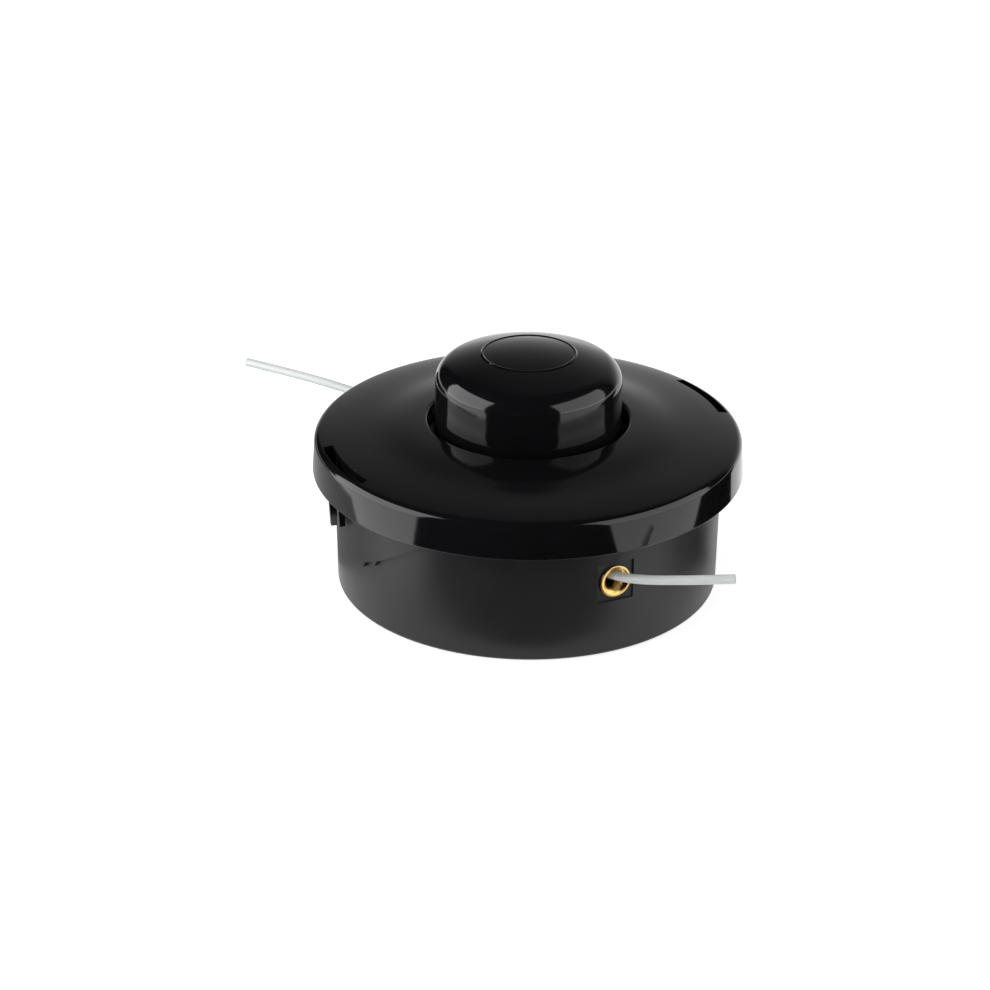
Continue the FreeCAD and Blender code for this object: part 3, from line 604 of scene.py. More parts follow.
# %% Lid sizes
COVER_FOOT_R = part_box("cover")[1].y / MM
COVER_R = COVER_FOOT_R - 0.6
COVER_WALL = 2.0
SKIRT_BOTTOM = 35.1
COVER_CROWN = 325.0
COVER_EDGE_ROUND = 2.3
UNDER_EDGE_ROUND = 1.0
THIN_ROUND = 0.4
OPENING_R = 29.5
LIP_Z = 50.6
LIP_ROUND = 0.8
COLLAR_BOTTOM = 46.2
COLLAR_ROOT = 1.5
SKIRT_START = 40.0
SLOT_R = 57.9
SLOT_HALF = 13.0
SLOT_AZ = 90.0
LID_STEP = 1.0
NECK = (33.5, 45.0, 60.4)
NECK_DIP = 0.45
SKIRT_IN_R = COVER_R - COVER_WALL
print("lid", round(2 * COVER_R, 1), "mm across, skirt down to", SKIRT_BOTTOM)

# %% [markdown]
# ## Crowns and shoulders
# The lid and the knob share a form: a large sphere on top, a vertical wall, and an arc that touches
# both. Where arc and sphere meet they have the same slope, so a mirror image runs over the joint
# without a kink. Round the neck the lid's top falls a little faster than a sphere, which shortens
# the knob's mirror image.


# %% Crowns and shoulders
def crown_height(r, sphere, top):
    """Height over radius r of a sphere that tops out on the axis: its middle plus a root."""
    return top - sphere + np.sqrt(sphere ** 2 - r ** 2)


def shoulder(r_wall, sphere, top, round_r, steps):
    """The arc that touches a vertical wall and the sphere, from the wall inwards."""
    middle_r = r_wall - round_r
    middle_z = top - sphere + math.sqrt((sphere - round_r) ** 2 - middle_r ** 2)
    tilt = math.atan2(middle_r, middle_z - (top - sphere))
    angle = np.linspace(math.pi / 2, tilt, steps + 1)
    return np.stack([middle_r + round_r * np.sin(angle), middle_z + round_r * np.cos(angle)], -1)


def crown(r_from, r_to, sphere, top, steps):
    """Points over the crown between two radii, without the first."""
    r = np.linspace(r_from, r_to, steps + 1)[1:]
    return np.stack([r, crown_height(r, sphere, top)], -1)


def neck_dip(r):
    """A slow dip outside the neck: it falls over a first span and comes back over a second."""
    down = np.clip((r - NECK[0]) / (NECK[1] - NECK[0]), 0, 1)
    back = np.clip((r - NECK[1]) / (NECK[2] - NECK[1]), 0, 1)
    return -NECK_DIP * (down * down * (3 - 2 * down) - back * back * (3 - 2 * back))


print("the dip at radius", NECK[1], "is", round(float(neck_dip(NECK[1])), 2), "mm")

# %% [markdown]
# ## The lid's outline
# The outline is one closed loop of radius and height: over the top, down inside the collar, out
# under the plate and down inside the skirt. The rows where the slots begin and end are kept, so
# that they can be left out of the grid.


# %% Lid outline
def lid_outline():
    """The closed outline, and the slots' rows: top outer and inner, underside inner and outer."""
    top = LIP_Z + COVER_CROWN - math.sqrt(COVER_CROWN ** 2 - OPENING_R ** 2)
    under = top - COVER_WALL
    edge = shoulder(COVER_R, COVER_CROWN, top, COVER_EDGE_ROUND, 10)
    over = [edge, crown(edge[-1, 0], SLOT_R, COVER_CROWN, top, 2),
            crown(SLOT_R, OPENING_R + LIP_ROUND, COVER_CROWN, top, 36)]
    for part in over[1:]:
        part[:, 1] += neck_dip(part[:, 0])
    lip_angle = np.linspace(0, math.pi / 2, 7)[1:]
    lip_z = over[-1][-1, 1] - LIP_ROUND
    lip = np.stack([OPENING_R + LIP_ROUND * (1 - np.sin(lip_angle)),
                    lip_z + LIP_ROUND * np.cos(lip_angle)], -1)
    collar_r = OPENING_R + COVER_WALL
    collar = rounded([(OPENING_R, lip_z, 0), (OPENING_R, COLLAR_BOTTOM, THIN_ROUND),
                      (collar_r, COLLAR_BOTTOM, THIN_ROUND),
                      (collar_r, under - COLLAR_ROOT, 0)], 3)[1:]
    below = crown(collar_r - 0.5, SLOT_R, COVER_CROWN - COVER_WALL, under, 12)
    corner = shoulder(SKIRT_IN_R, COVER_CROWN - COVER_WALL, under, UNDER_EDGE_ROUND, 5)[::-1]
    skirt = rounded([(SKIRT_IN_R, SKIRT_START, 0), (SKIRT_IN_R, SKIRT_BOTTOM, THIN_ROUND),
                     (COVER_FOOT_R, SKIRT_BOTTOM, 0.5), tuple(edge[0]) + (0,)], 4)[:-1]
    parts = over + [lip, collar, below, corner, skirt]
    starts = np.cumsum([0] + [len(p) for p in parts])
    return np.concatenate(parts), [int(starts[i]) - 1 for i in (1, 2, 6, 7)]


lid_profile, slot_rows = lid_outline()
print("lid outline", len(lid_profile), "points; slot rows", slot_rows)

# %% [markdown]
# ## The lid's slots
# Each slot is an opening through the plate, right above a latch, so that the mould can reach the
# hook. The grid leaves it open in both skins, and the four rows of points that bound it are joined
# by walls.


# %% Cut the slots
def cut_slots(shell, points):
    """The lid's grid with both slots left open, and the walls of each slot."""
    top_out, top_in, under_in, under_out = slot_rows
    half = int(SLOT_HALF / LID_STEP)
    middles = [int(az / LID_STEP) % points.shape[1] for az in evenly_round(SLOT_AZ, 2)]
    holes = [(*rows, middle - half, middle + half) for middle in middles
             for rows in ((top_out, top_in), (under_in, under_out))]
    n = shell.grid(points, rows_loop=True, holes=holes)
    for middle in middles:
        span = slice(middle - half, middle + half + 1)
        shell.join(n[top_out, span], n[under_out, span], loop=False)
        shell.join(n[top_in, span], n[under_in, span], loop=False)
        for side in (middle - half, middle + half):
            shell.plug(np.concatenate([n[top_out:top_in + 1, side],
                                       n[under_in:under_out + 1, side]]))


print("slots", 2 * SLOT_HALF, "degrees long at", evenly_round(SLOT_AZ, 2))

# %% [markdown]
# ## The latches
# Below each slot hangs a leg with a hooked nose that snaps under a ledge of the cup, and two narrow
# prongs that are squeezed to open it. Webs close the leg's two ends, so that no daylight passes
# from the slot to the floor. The prongs taper downwards as every moulded rib does, and a thin web
# joins them.

# %% Latches
HOUSING_TOP_R = 57.0
LEG_TOP = 41.7
LEG_IN_R = SKIRT_IN_R - 2.6
LEG_LOW = SKIRT_BOTTOM + 0.3
NOSE_R = HOUSING_TOP_R + 0.7
NOSE = (SKIRT_BOTTOM + 0.5, SKIRT_BOTTOM + 2.2, 18.0)
WEB = 1.6
WEB_UPPER = (HOUSING_TOP_R + 0.1, 39.5, 45.2)
WEB_LOWER = (NOSE_R, SKIRT_BOTTOM + 0.4, LEG_TOP - 0.9)
PRONG_TOP = SKIRT_BOTTOM + 1.3
PRONGS = [(-9.6, 22.9, 58.0, 60.5, 59.7), (-3.0, 25.6, 57.5, 59.9, 59.2)]
PRONG_ANGLE = 1.4
PRONG_WEB = (27.4, 57.9, 58.8)


def add_latch(shell, azimuth):
    """A leg inside the skirt, its end webs, its nose, and two tapered prongs joined by a web."""
    root = SKIRT_IN_R + COVER_WALL / 2
    half = SLOT_HALF + WEB
    shell.bar(sector(LEG_IN_R, root, LEG_LOW, LEG_TOP, azimuth, 2 * half, 28))
    for side in (-1, 1):
        for r_in, low, high in (WEB_UPPER, WEB_LOWER):
            shell.bar(sector(r_in, root, low, high, azimuth + side * (half - WEB / 2), WEB, 2))
    low, high, angle = NOSE
    shell.bar(sector(NOSE_R, LEG_IN_R + 1, low, high, azimuth, angle))
    for offset, low, r_in, r_top, r_low in PRONGS:
        fin = sector(r_in, r_top, low, PRONG_TOP, azimuth + offset, PRONG_ANGLE, 3)
        fin[:, 1, :2] *= r_low / r_top
        shell.bar(fin)
    web_low, web_in, web_out = PRONG_WEB
    middle = azimuth + (PRONGS[0][0] + PRONGS[1][0]) / 2
    shell.bar(sector(web_in, web_out, web_low, PRONG_TOP, middle, PRONGS[1][0] - PRONGS[0][0], 6))


print("each latch has", len(PRONGS), "prongs, and a nose over", NOSE[2], "degrees")

# %% [markdown]
# ## Under the lid
# A seat rests on the cup's rim and a spigot inside it centres the lid. Four stops hang down for the
# spool's lugs to lean on, so the spool turns only while the knob is pushed in. Thin ribs stiffen
# the plate. The cup's floor has stops and ribs too, so what they share is given once, here.

# %% Build the lid
CUP_WALL = 2.4
HOUSING_IN_R = HOUSING_TOP_R - CUP_WALL
HOUSING_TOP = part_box("housing")[1].z / MM
SEAT_RISE = 2.9
SPIGOT_R = HOUSING_IN_R - 0.25
SPIGOT_WALL = 1.4
SPIGOT_DEPTH = 2.0
STOP_AZ = 45.0
STOP_R = (44.4, 50.4)
STOP_ANGLE = 7.0
STOP_Z = (39.9, 47.0)
RIB = 1.6
LID_RIB_R = (32.9, 44.4)
LID_RIB_Z = (45.7, 47.9)


def build_lid():
    """The lid's shell with all that hangs under it."""
    shell = Shell()
    cut_slots(shell, lathe(lid_profile, arc_turns(int(360 / LID_STEP))))
    for az in evenly_round(-SLOT_AZ, 2):
        add_latch(shell, az)
    for r_in, r_out, low in ((HOUSING_IN_R, HOUSING_TOP_R, HOUSING_TOP),
                             (SPIGOT_R - SPIGOT_WALL, SPIGOT_R, HOUSING_TOP - SPIGOT_DEPTH)):
        high = HOUSING_TOP + SEAT_RISE
        outline = np.array([(r_in, low), (r_out, low), (r_out, high), (r_in, high)])
        shell.grid(lathe(outline, arc_turns(180)), rows_loop=True)
    for az in evenly_round(STOP_AZ, 4):
        shell.bar(sector(*STOP_R, *STOP_Z, az, STOP_ANGLE, 6))
    for az in evenly_round(STOP_AZ, 8):
        shell.bar(radial_bar(*LID_RIB_R, RIB, *LID_RIB_Z, az))
    make_piece("lid", shell, gloss_black, "root", ["cover"], edge=0.25)


build_lid()

# %% [markdown]
# ## The knob
# The knob is a deep dome with a soft shoulder. A fine ring stands on its crown as a low bead: its
# near side mirrors the dark front of the studio and its far side the pale back, so it reads as a
# dark line with a light edge. A flange inside the lid keeps the knob from falling out. The outline
# starts and ends on the axis, so the grid closes in two poles, which the merge of doubled points
# seals.

# %% Knob outline
KNOB_R = 27.3
KNOB_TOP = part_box("bump_knob")[1].z / MM
KNOB_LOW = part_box("bump_knob")[0].z / MM
KNOB_CROWN = 69.0
KNOB_SHOULDER = 6.5
KNOB_WALL = 2.4
KNOB_FLANGE_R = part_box("bump_knob")[1].x / MM
KNOB_FLANGE = (43.8, 45.9)
FLANGE_ROUND = 0.3
RING_R = 13.6
RING_HALF = 0.55
RING_RISE = 0.28
RING_SIDES = (RING_R - 0.6, RING_R + 0.7)
CROWN_END = 20.5


def knob_outline():
    """Crown with its ring, a bead of height cos squared, then shoulder, wall, flange and inside."""
    r = np.concatenate([np.linspace(0, RING_SIDES[0], 12),
                        np.linspace(RING_R - RING_HALF, RING_R + RING_HALF, 17),
                        np.linspace(RING_SIDES[1], CROWN_END, 9)])
    bead = RING_RISE * np.cos(np.clip((r - RING_R) / RING_HALF, -1, 1) * math.pi / 2) ** 2
    top = np.stack([r, crown_height(r, KNOB_CROWN, KNOB_TOP) + bead], -1)
    outer = shoulder(KNOB_R, KNOB_CROWN, KNOB_TOP, KNOB_SHOULDER, 14)[::-1]
    low, high = KNOB_FLANGE
    soft = FLANGE_ROUND
    flange = rounded([(KNOB_R, high + 6, 0), (KNOB_R, high, soft), (KNOB_FLANGE_R, high, soft),
                      (KNOB_FLANGE_R, low, soft), (KNOB_R, low, 0), (KNOB_R, KNOB_LOW, soft),
                      (KNOB_R - KNOB_WALL, KNOB_LOW, soft), (KNOB_R - KNOB_WALL, low, 0)], 3)
    inside = shoulder(KNOB_R - KNOB_WALL, KNOB_CROWN - KNOB_WALL, KNOB_TOP - KNOB_WALL,
                      KNOB_SHOULDER - KNOB_WALL, 8)
    ceiling = crown(inside[-1, 0], 0.0, KNOB_CROWN - KNOB_WALL, KNOB_TOP - KNOB_WALL, 8)
    return np.concatenate([top, outer, flange, inside, ceiling])


print("knob outline", len(knob_outline()), "points")

# %% [markdown]
# ## The knob's shell and posts
# Inside the dome stand three hollow posts for the screws that hold the knob to the spool, so the
# two are bumped and turned as one. A post is the same lathe, moved to its place on a circle.

# %% Build the knob
POST_CIRCLE = 7.5
POST_R = (3.4, 1.72)
POST_Z = (45.5, 69.0)


def build_knob():
    """The domed shell and its three hollow screw posts."""
    shell = Shell()
    shell.grid(lathe(knob_outline(), arc_turns(288)))
    low, high = POST_Z
    post = np.array([(POST_R[0], low), (POST_R[0], high), (POST_R[1], high), (POST_R[1], low)])
    for place in polar(POST_CIRCLE, arc_turns(3), 0):
        shell.grid(lathe(post, arc_turns(32)) + place, rows_loop=True)
    make_piece("knob", shell, gloss_black, "spool", ["bump_knob"])


build_knob()

# %% [markdown]
# ## The cup
# The cup's outline is again one closed loop: over the base with its shallow recess, up the
# drafted wall, down inside, over the floor and round the hub. The eyelets need flat square seats
# in a round wall, so a window is left in the wall's grid, outside and inside. A second grid runs
# through each window: from the window's edge to the square seat, down to its floor, round the
# bore, through the wall to the inner boss and out to the inner window.

# %% Cup outline
HOUSING_R = 56.4
FLOOR = 3.2
CUP_STEP = 1.5
WINDOW_COLUMNS = 6
WINDOW_ROWS = 8
WINDOW_HALF = 8.0
BELOW_WINDOW = 8.0
ABOVE_WINDOW = 36.0
EYELET_FLANGE_R = 4.8
EYELET_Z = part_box("eyelet_front")[0].z / MM + EYELET_FLANGE_R
HUB = (13.5, 11.5, 36.5, 15.4)
INSERT_R = (9.3, 12.25)
INSERT_SEAT = 2.0
RECESS_R = (16.0, 47.4)
RECESS_DEPTH = 1.0


def wall_radius(z):
    """Outer radius of the drafted wall at a height."""
    return HOUSING_R + (HOUSING_TOP_R - HOUSING_R) * z / HOUSING_TOP


def cup_outline():
    """The cup's closed outline, and the first rows of the outer and inner windows."""
    window = np.linspace(EYELET_Z - WINDOW_HALF, EYELET_Z + WINDOW_HALF, WINDOW_ROWS + 1)
    base = rounded([(RECESS_R[1], 0, 0.3), (HOUSING_R, 0, 1.2),
                    (wall_radius(BELOW_WINDOW), BELOW_WINDOW, 0)], 8)
    outer = np.stack([wall_radius(window), window], -1)
    rim = rounded([(wall_radius(ABOVE_WINDOW), ABOVE_WINDOW, 0),
                   (HOUSING_TOP_R, HOUSING_TOP, THIN_ROUND),
                   (HOUSING_IN_R, HOUSING_TOP, THIN_ROUND), (HOUSING_IN_R, ABOVE_WINDOW, 0)], 4)
    down = window[::-1]
    inner = np.stack([wall_radius(down) - CUP_WALL, down], -1)
    hub_r, bore_r, hub_top, shelf = HUB
    inside = rounded([(wall_radius(BELOW_WINDOW) - CUP_WALL, BELOW_WINDOW, 0),
                      (HOUSING_R - CUP_WALL, FLOOR, 1.5), (hub_r, FLOOR, 0.6),
                      (hub_r, hub_top, 0.3), (bore_r, hub_top, 0.3), (bore_r, shelf, 0),
                      (INSERT_R[0], shelf, 0), (INSERT_R[0], INSERT_SEAT, 0),
                      (INSERT_R[1], INSERT_SEAT, 0), (INSERT_R[1], 0, 0.2),
                      (RECESS_R[0], 0, 0.3), (RECESS_R[0], RECESS_DEPTH, 0),
                      (RECESS_R[1], RECESS_DEPTH, 0)], 3)
    parts = [base, outer, rim, inner, inside]
    starts = np.cumsum([0] + [len(p) for p in parts])
    return np.concatenate(parts), int(starts[1]), int(starts[3])


cup_profile, outer_row, inner_row = cup_outline()
print("cup outline", len(cup_profile), "points")

# %% [markdown]
# ## Eyelet seats
# The rings of the second grid all have the same number of points, one for each point on the
# window's edge. A point keeps its share along its side, so the corners of the window lead to the
# corners of the square seat, and its direction from the middle places it on the bore.

# %% Seat rings
SEAT_X = HOUSING_R - 0.6
SEAT_HALF = (5.6, 6.0)
BOSS_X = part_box("eyelet_front")[0].x / MM
BOSS_HALF = (6.5, 6.9)
BORE_R = 4.02


def frame_shares():
    """Signed shares across and up of the points round a window, starting at its low corner."""
    across = np.linspace(-1, 1, 2 * WINDOW_COLUMNS + 1)
    up = np.linspace(-1, 1, WINDOW_ROWS + 1)[1:-1]
    side = np.ones(len(up))
    row = np.ones(len(across))
    u = np.concatenate([across, side, across[::-1], -side])
    v = np.concatenate([-row, up, row, up[::-1]])
    return u, v


def square_ring(half, x=None, reach=0.0):
    """A rectangle seen along +X: flat at x, or lying on the wall, reach inside its surface."""
    u, v = frame_shares()
    y = u * half[0]
    z = EYELET_Z + v * half[1]
    if x is None:
        depth = np.sqrt((wall_radius(z) - reach) ** 2 - y ** 2)
    else:
        depth = np.full_like(y, x)
    return np.stack([depth, y, z], -1)


def round_ring(half, radius, x):
    """A circle seen along +X whose points look the same way as those of the rectangle."""
    u, v = frame_shares()
    angle = np.arctan2(v * half[1], u * half[0])
    return np.stack([np.full_like(u, x), radius * np.cos(angle),
                     EYELET_Z + radius * np.sin(angle)], -1)


print("each ring of a seat has", len(frame_shares()[0]), "points")

# %% [markdown]
# ## Joining a seat into the wall
# The rings lead inwards in order: the seat's edge on the wall, its flat floor, the bore at the
# front and at the back, and the boss. Quads join each ring to the next, the first one to the outer
# window and the last one to the inner window, so the wall stays one closed skin.


# %% Join a seat
def window_numbers(numbers, row, middle, upwards):
    """The grid numbers round a window, in the order of the shares."""
    columns = (np.arange(-WINDOW_COLUMNS, WINDOW_COLUMNS + 1) + middle) % numbers.shape[1]
    patch = numbers[row:row + WINDOW_ROWS + 1][:, columns]
    if not upwards:
        patch = patch[::-1]
    return np.concatenate([patch[0], patch[1:-1, -1], patch[-1, ::-1], patch[1:-1, 0][::-1]])


def add_seat(shell, numbers, azimuth):
    """Joins the outer window to the inner one through the seat, the bore and the boss."""
    columns = numbers.shape[1]
    middle = int(azimuth / CUP_STEP) % columns
    a = math.radians(azimuth)
    swing = np.array([[math.cos(a), math.sin(a), 0], [-math.sin(a), math.cos(a), 0], [0, 0, 1]])
    rings = [square_ring(SEAT_HALF), square_ring(SEAT_HALF, SEAT_X),
             round_ring(SEAT_HALF, BORE_R, SEAT_X), round_ring(SEAT_HALF, BORE_R, BOSS_X),
             square_ring(BOSS_HALF, BOSS_X), square_ring(BOSS_HALF, None, CUP_WALL)]
    last = window_numbers(numbers, outer_row, middle, True)
    for ring in rings:
        here = shell.add_points(ring @ swing)
        shell.join(last, here)
        last = here
    shell.join(last, window_numbers(numbers, inner_row, middle, False))


print("a window is", 2 * WINDOW_COLUMNS, "by", WINDOW_ROWS, "quads of the wall")

# %% [markdown]
# ## Ramps and teeth
# On each side a proud panel with a slanted lower edge leads the lid's leg, and two small teeth at
# its low end catch a prong. The panel is a bar whose lower edge follows the slant, and a tooth is
# a pointed bar. Both sink into the wall, so that nothing shows between them.

# %% Ramps and teeth
RAMP_AZ = np.array([9.3, 11.9, 17.5, 38.6]) - 90.0
RAMP_Z = np.array([19.2, 20.3, 22.9, 34.9])
RAMP_TOP = 35.3
RAMP_ROOT_R = HOUSING_R - 0.4
RAMP_R = HOUSING_TOP_R + 1.1
TOOTH = (2.4, 1.5)
TOOTH_SLANT = (0.4, 0.8)
TOOTH_AZ = np.array([9.7, 15.2]) - 90.0


def ramp_sections(turn):
    """Sections of the panel: at each azimuth a rectangle from the slanted edge to its top."""
    az = np.linspace(RAMP_AZ[0], RAMP_AZ[-1], 45)
    low = np.interp(az, RAMP_AZ, RAMP_Z)
    r = np.array([RAMP_ROOT_R, RAMP_R, RAMP_R, RAMP_ROOT_R])
    z = np.stack([low, low, 0 * low + RAMP_TOP, 0 * low + RAMP_TOP], -1)
    return polar(r, np.radians(az + turn)[:, None], z)


def tooth_sections(az, z, turn):
    """A small pointed tooth: two three-cornered rings, on the wall and proud of it."""
    width, height = TOOTH
    corners = np.array([(az - width / 2, z - TOOTH_SLANT[0]), (az, z - height),
                        (az + width / 2, z + TOOTH_SLANT[1])])
    return polar(np.array([RAMP_ROOT_R, RAMP_R - 0.05])[:, None],
                 np.radians(corners[:, 0] + turn), corners[:, 1])


print("ramp from", RAMP_Z[0], "to", RAMP_Z[-1], "mm high, with", len(TOOTH_AZ), "teeth")

# %% [markdown]
# ## The whole cup with its stops and ribs
# The wall, both seats, the ledges under the lid's hooks, the ramps and the teeth come together
# here. Stops stand on the floor for the spool's lower lugs, and ribs stiffen the floor and the
# base, where a plain disc this wide would warp as it cools in the mould.

# %% Build the cup
LEDGE = (37.55, 39.35, 30.0)
LOWER_STOP_AZ = -7.5
LOWER_STOP_RISE = 3.0
FLOOR_RIB_R = (20.3, 43.4)
FLOOR_RIB_RISE = 1.4
BASE_RIB_R = (15.0, 48.4)
BASE_RIB_Z = (0.02, 2.0)


def build_cup():
    """The cup's shell with its seats, ledges, ramps, teeth, stops and ribs."""
    shell = Shell()
    points = lathe(cup_profile, arc_turns(int(360 / CUP_STEP)))
    holes = []
    for az in (0.0, 180.0):
        middle = int(az / CUP_STEP)
        for row in (outer_row, inner_row):
            first = middle - WINDOW_COLUMNS
            holes.append((row, row + WINDOW_ROWS, max(first, 0), middle + WINDOW_COLUMNS))
            if first < 0:
                holes.append((row, row + WINDOW_ROWS, first, None))
    numbers = shell.grid(points, rows_loop=True, holes=holes)
    for az in (0.0, 180.0):
        add_seat(shell, numbers, az)
    for turn in (0.0, 180.0):
        shell.bar(sector(HOUSING_R - 1, HOUSING_TOP_R + 0.6, LEDGE[0], LEDGE[1],
                         turn - 90.0, LEDGE[2], 20))
        shell.bar(ramp_sections(turn))
        for az in TOOTH_AZ:
            shell.bar(tooth_sections(az, np.interp(az, RAMP_AZ, RAMP_Z), turn))
    for az in evenly_round(LOWER_STOP_AZ, 4):
        shell.bar(sector(*STOP_R, FLOOR - 1, FLOOR + LOWER_STOP_RISE, az, STOP_ANGLE, 6))
    for az in evenly_round(0.0, 8):
        shell.bar(radial_bar(*FLOOR_RIB_R, RIB, FLOOR - 1, FLOOR + FLOOR_RIB_RISE, az))
        shell.bar(radial_bar(*BASE_RIB_R, RIB, *BASE_RIB_Z, az))
    make_piece("cup", shell, satin_black, "root", ["housing"], edge=0.2)


build_cup()

# %% [markdown]
# ## Eyelets
# Each eyelet is a small brass ferrule: a thin flange on the seat, a wide bell mouth that guides the
# line round its bend, and a plain throat. The mouth is a quarter of an ellipse, so its outer part
# faces outwards and catches the softbox. It is the same lathe, laid on its side.

# %% Eyelets
EYELET_FACE = SEAT_X + 0.8
BARREL_R = 4.0
MOUTH_R = 4.3
MOUTH_DEPTH = 3.1
THROAT_R = 2.3


def eyelet_outline():
    """Closed outline of radius and distance on its own axis; the mouth is a quarter ellipse."""
    inner_end = EYELET_FACE - MOUTH_DEPTH
    body = rounded([(THROAT_R, BOSS_X, 0.3), (BARREL_R, BOSS_X, 0.3), (BARREL_R, SEAT_X, 0),
                    (EYELET_FLANGE_R, SEAT_X, 0.1), (EYELET_FLANGE_R, EYELET_FACE, 0.3),
                    (MOUTH_R, EYELET_FACE, 0), (THROAT_R, inner_end, 0)], 6)[:-2]
    turn = np.linspace(0, math.pi / 2, 13)
    mouth = np.stack([MOUTH_R - (MOUTH_R - THROAT_R) * np.sin(turn),
                      inner_end + MOUTH_DEPTH * np.cos(turn)], -1)
    return np.concatenate([body, mouth])


def build_eyelet(name, node_name, side):
    """The lathe's height becomes distance along +X or -X."""
    shell = Shell()
    grid = lathe(eyelet_outline(), arc_turns(96))
    laid = np.stack([side * grid[..., 2], grid[..., 1], grid[..., 0] + EYELET_Z], -1)
    shell.grid(laid, rows_loop=True)
    make_piece(name, shell, brass, "root", [node_name])


build_eyelet("brass_front", "eyelet_front", 1)
build_eyelet("brass_rear", "eyelet_rear", -1)

# %% [markdown]
# ## The bump spring
# The spring is wound from steel wire in six turns, and both ends are ground flat, so that it stands
# square between its two washers. It is the only piece that changes its length: pushing the knob in
# squeezes it. Here a tube is laid round a helix, with its height held between the two ground ends.

# %% Bump spring
WIRE_R = 0.9
WIRE_POINTS = 16
SPRING_TURNS = 6.0
TURN_POINTS = 48
SPRING_GRIND = 0.45
SPRING_ROOM = 0.05
SPRING_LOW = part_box("bump_spring")[0].z / MM
SPRING_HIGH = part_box("bump_spring")[1].z / MM - SPRING_ROOM
SPRING_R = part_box("bump_spring")[1].x / MM - WIRE_R


def spring_sections():
    """Circles of the wire along a helix: the angle grows evenly with height, held at the ends."""
    share = np.linspace(0, 1, int(SPRING_TURNS * TURN_POINTS) + 1)
    angle = 2 * np.pi * SPRING_TURNS * share[:, None]
    middle = SPRING_LOW + SPRING_GRIND + share * (SPRING_HIGH - SPRING_LOW - 2 * SPRING_GRIND)
    r = SPRING_R + WIRE_R * np.cos(arc_turns(WIRE_POINTS))
    z = np.clip(middle[:, None] + WIRE_R * np.sin(arc_turns(WIRE_POINTS)), SPRING_LOW,
                SPRING_HIGH)
    return polar(r, angle, z)


def build_spring():
    """The wound tube, with a mesh of its own."""
    shell = Shell()
    shell.bar(spring_sections())
    piece = make_piece("coil_spring", shell, steel, "root", ["bump_spring"])
    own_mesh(piece)


build_spring()

# %% [markdown]
# ## Finishes for the pieces inside
# The spool, its bush, the washers, the screws and the insert keep the model's own shapes. They
# show from below and when the head is opened, so each gets its finish in its material slot.

# %% Inner finishes
INNER_FINISH = {
    "spool": spool_black,
    "spool_bush": bronze,
    "line_winding_lower": nylon,
    "line_winding_upper": nylon,
    "insert_circlip": steel,
    "hub_sleeve": zinc,
    "spring_base_washer": zinc,
    "spring_top_washer": zinc,
    "drive_insert": zinc,
    "insert_washer": zinc,
    "knob_screws": zinc,
}


def dress(node_name, material):
    """Puts one finish in every slot of a node's object."""
    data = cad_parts[node_name].data
    if not data.materials:
        data.materials.append(material)
    for i in range(len(data.materials)):
        data.materials[i] = material


for name, finish in INNER_FINISH.items():
    dress(name, finish)
print("dressed", len(INNER_FINISH), "inner pieces")

# %% [markdown]
# ## The studio's floor
# The photograph is cut out on pure white, and its black plastic shows the studio: a softbox on
# each side, a white backdrop behind that fades upwards, and darkness round the camera. The white
# floor adds a little of its own light to what the camera and mirrors see, so it reads white and
# keeps a faint shadow, and the object isn't lit more for it.

# %% Floor
FLOOR_SIZE = 4.0
FLOOR_GLOW = 0.62


def stage_material(name, colour, strength):
    """A matt paint that adds its own light for camera, glossy and transmission rays only."""
    material, tree, shader = new_material(name)
    path = node(tree, "ShaderNodeLightPath", -600, 0)
    seen = maths(tree, "MAXIMUM", -300, 0, path.outputs["Is Camera Ray"],
                 path.outputs["Is Glossy Ray"])
    seen = maths(tree, "MAXIMUM", -120, 0, seen, path.outputs["Is Transmission Ray"])
    tree.links.new(maths(tree, "MULTIPLY", 80, 0, seen, strength),
                   shader.inputs["Emission Strength"])
    fill(shader, {"Emission Color": (1, 1, 1, 1), "Base Color": (colour, colour, colour, 1),
                  "Roughness": 0.9, "Specular IOR Level": 0.0})
    return material


def stage_sheet(name, points, material):
    """One flat face of the studio, from its corners in metres."""
    mesh = bpy.data.meshes.new(name)
    mesh.from_pydata(points, [], [list(range(len(points)))])
    mesh.materials.append(material)
    sheet = put(name, mesh)
    return sheet


half = FLOOR_SIZE / 2
stage_sheet("studio_floor", [(-half, -half, 0), (half, -half, 0), (half, half, 0),
                             (-half, half, 0)], stage_material("studio_floor", 0.9, FLOOR_GLOW))
print("floor", FLOOR_SIZE, "m wide")
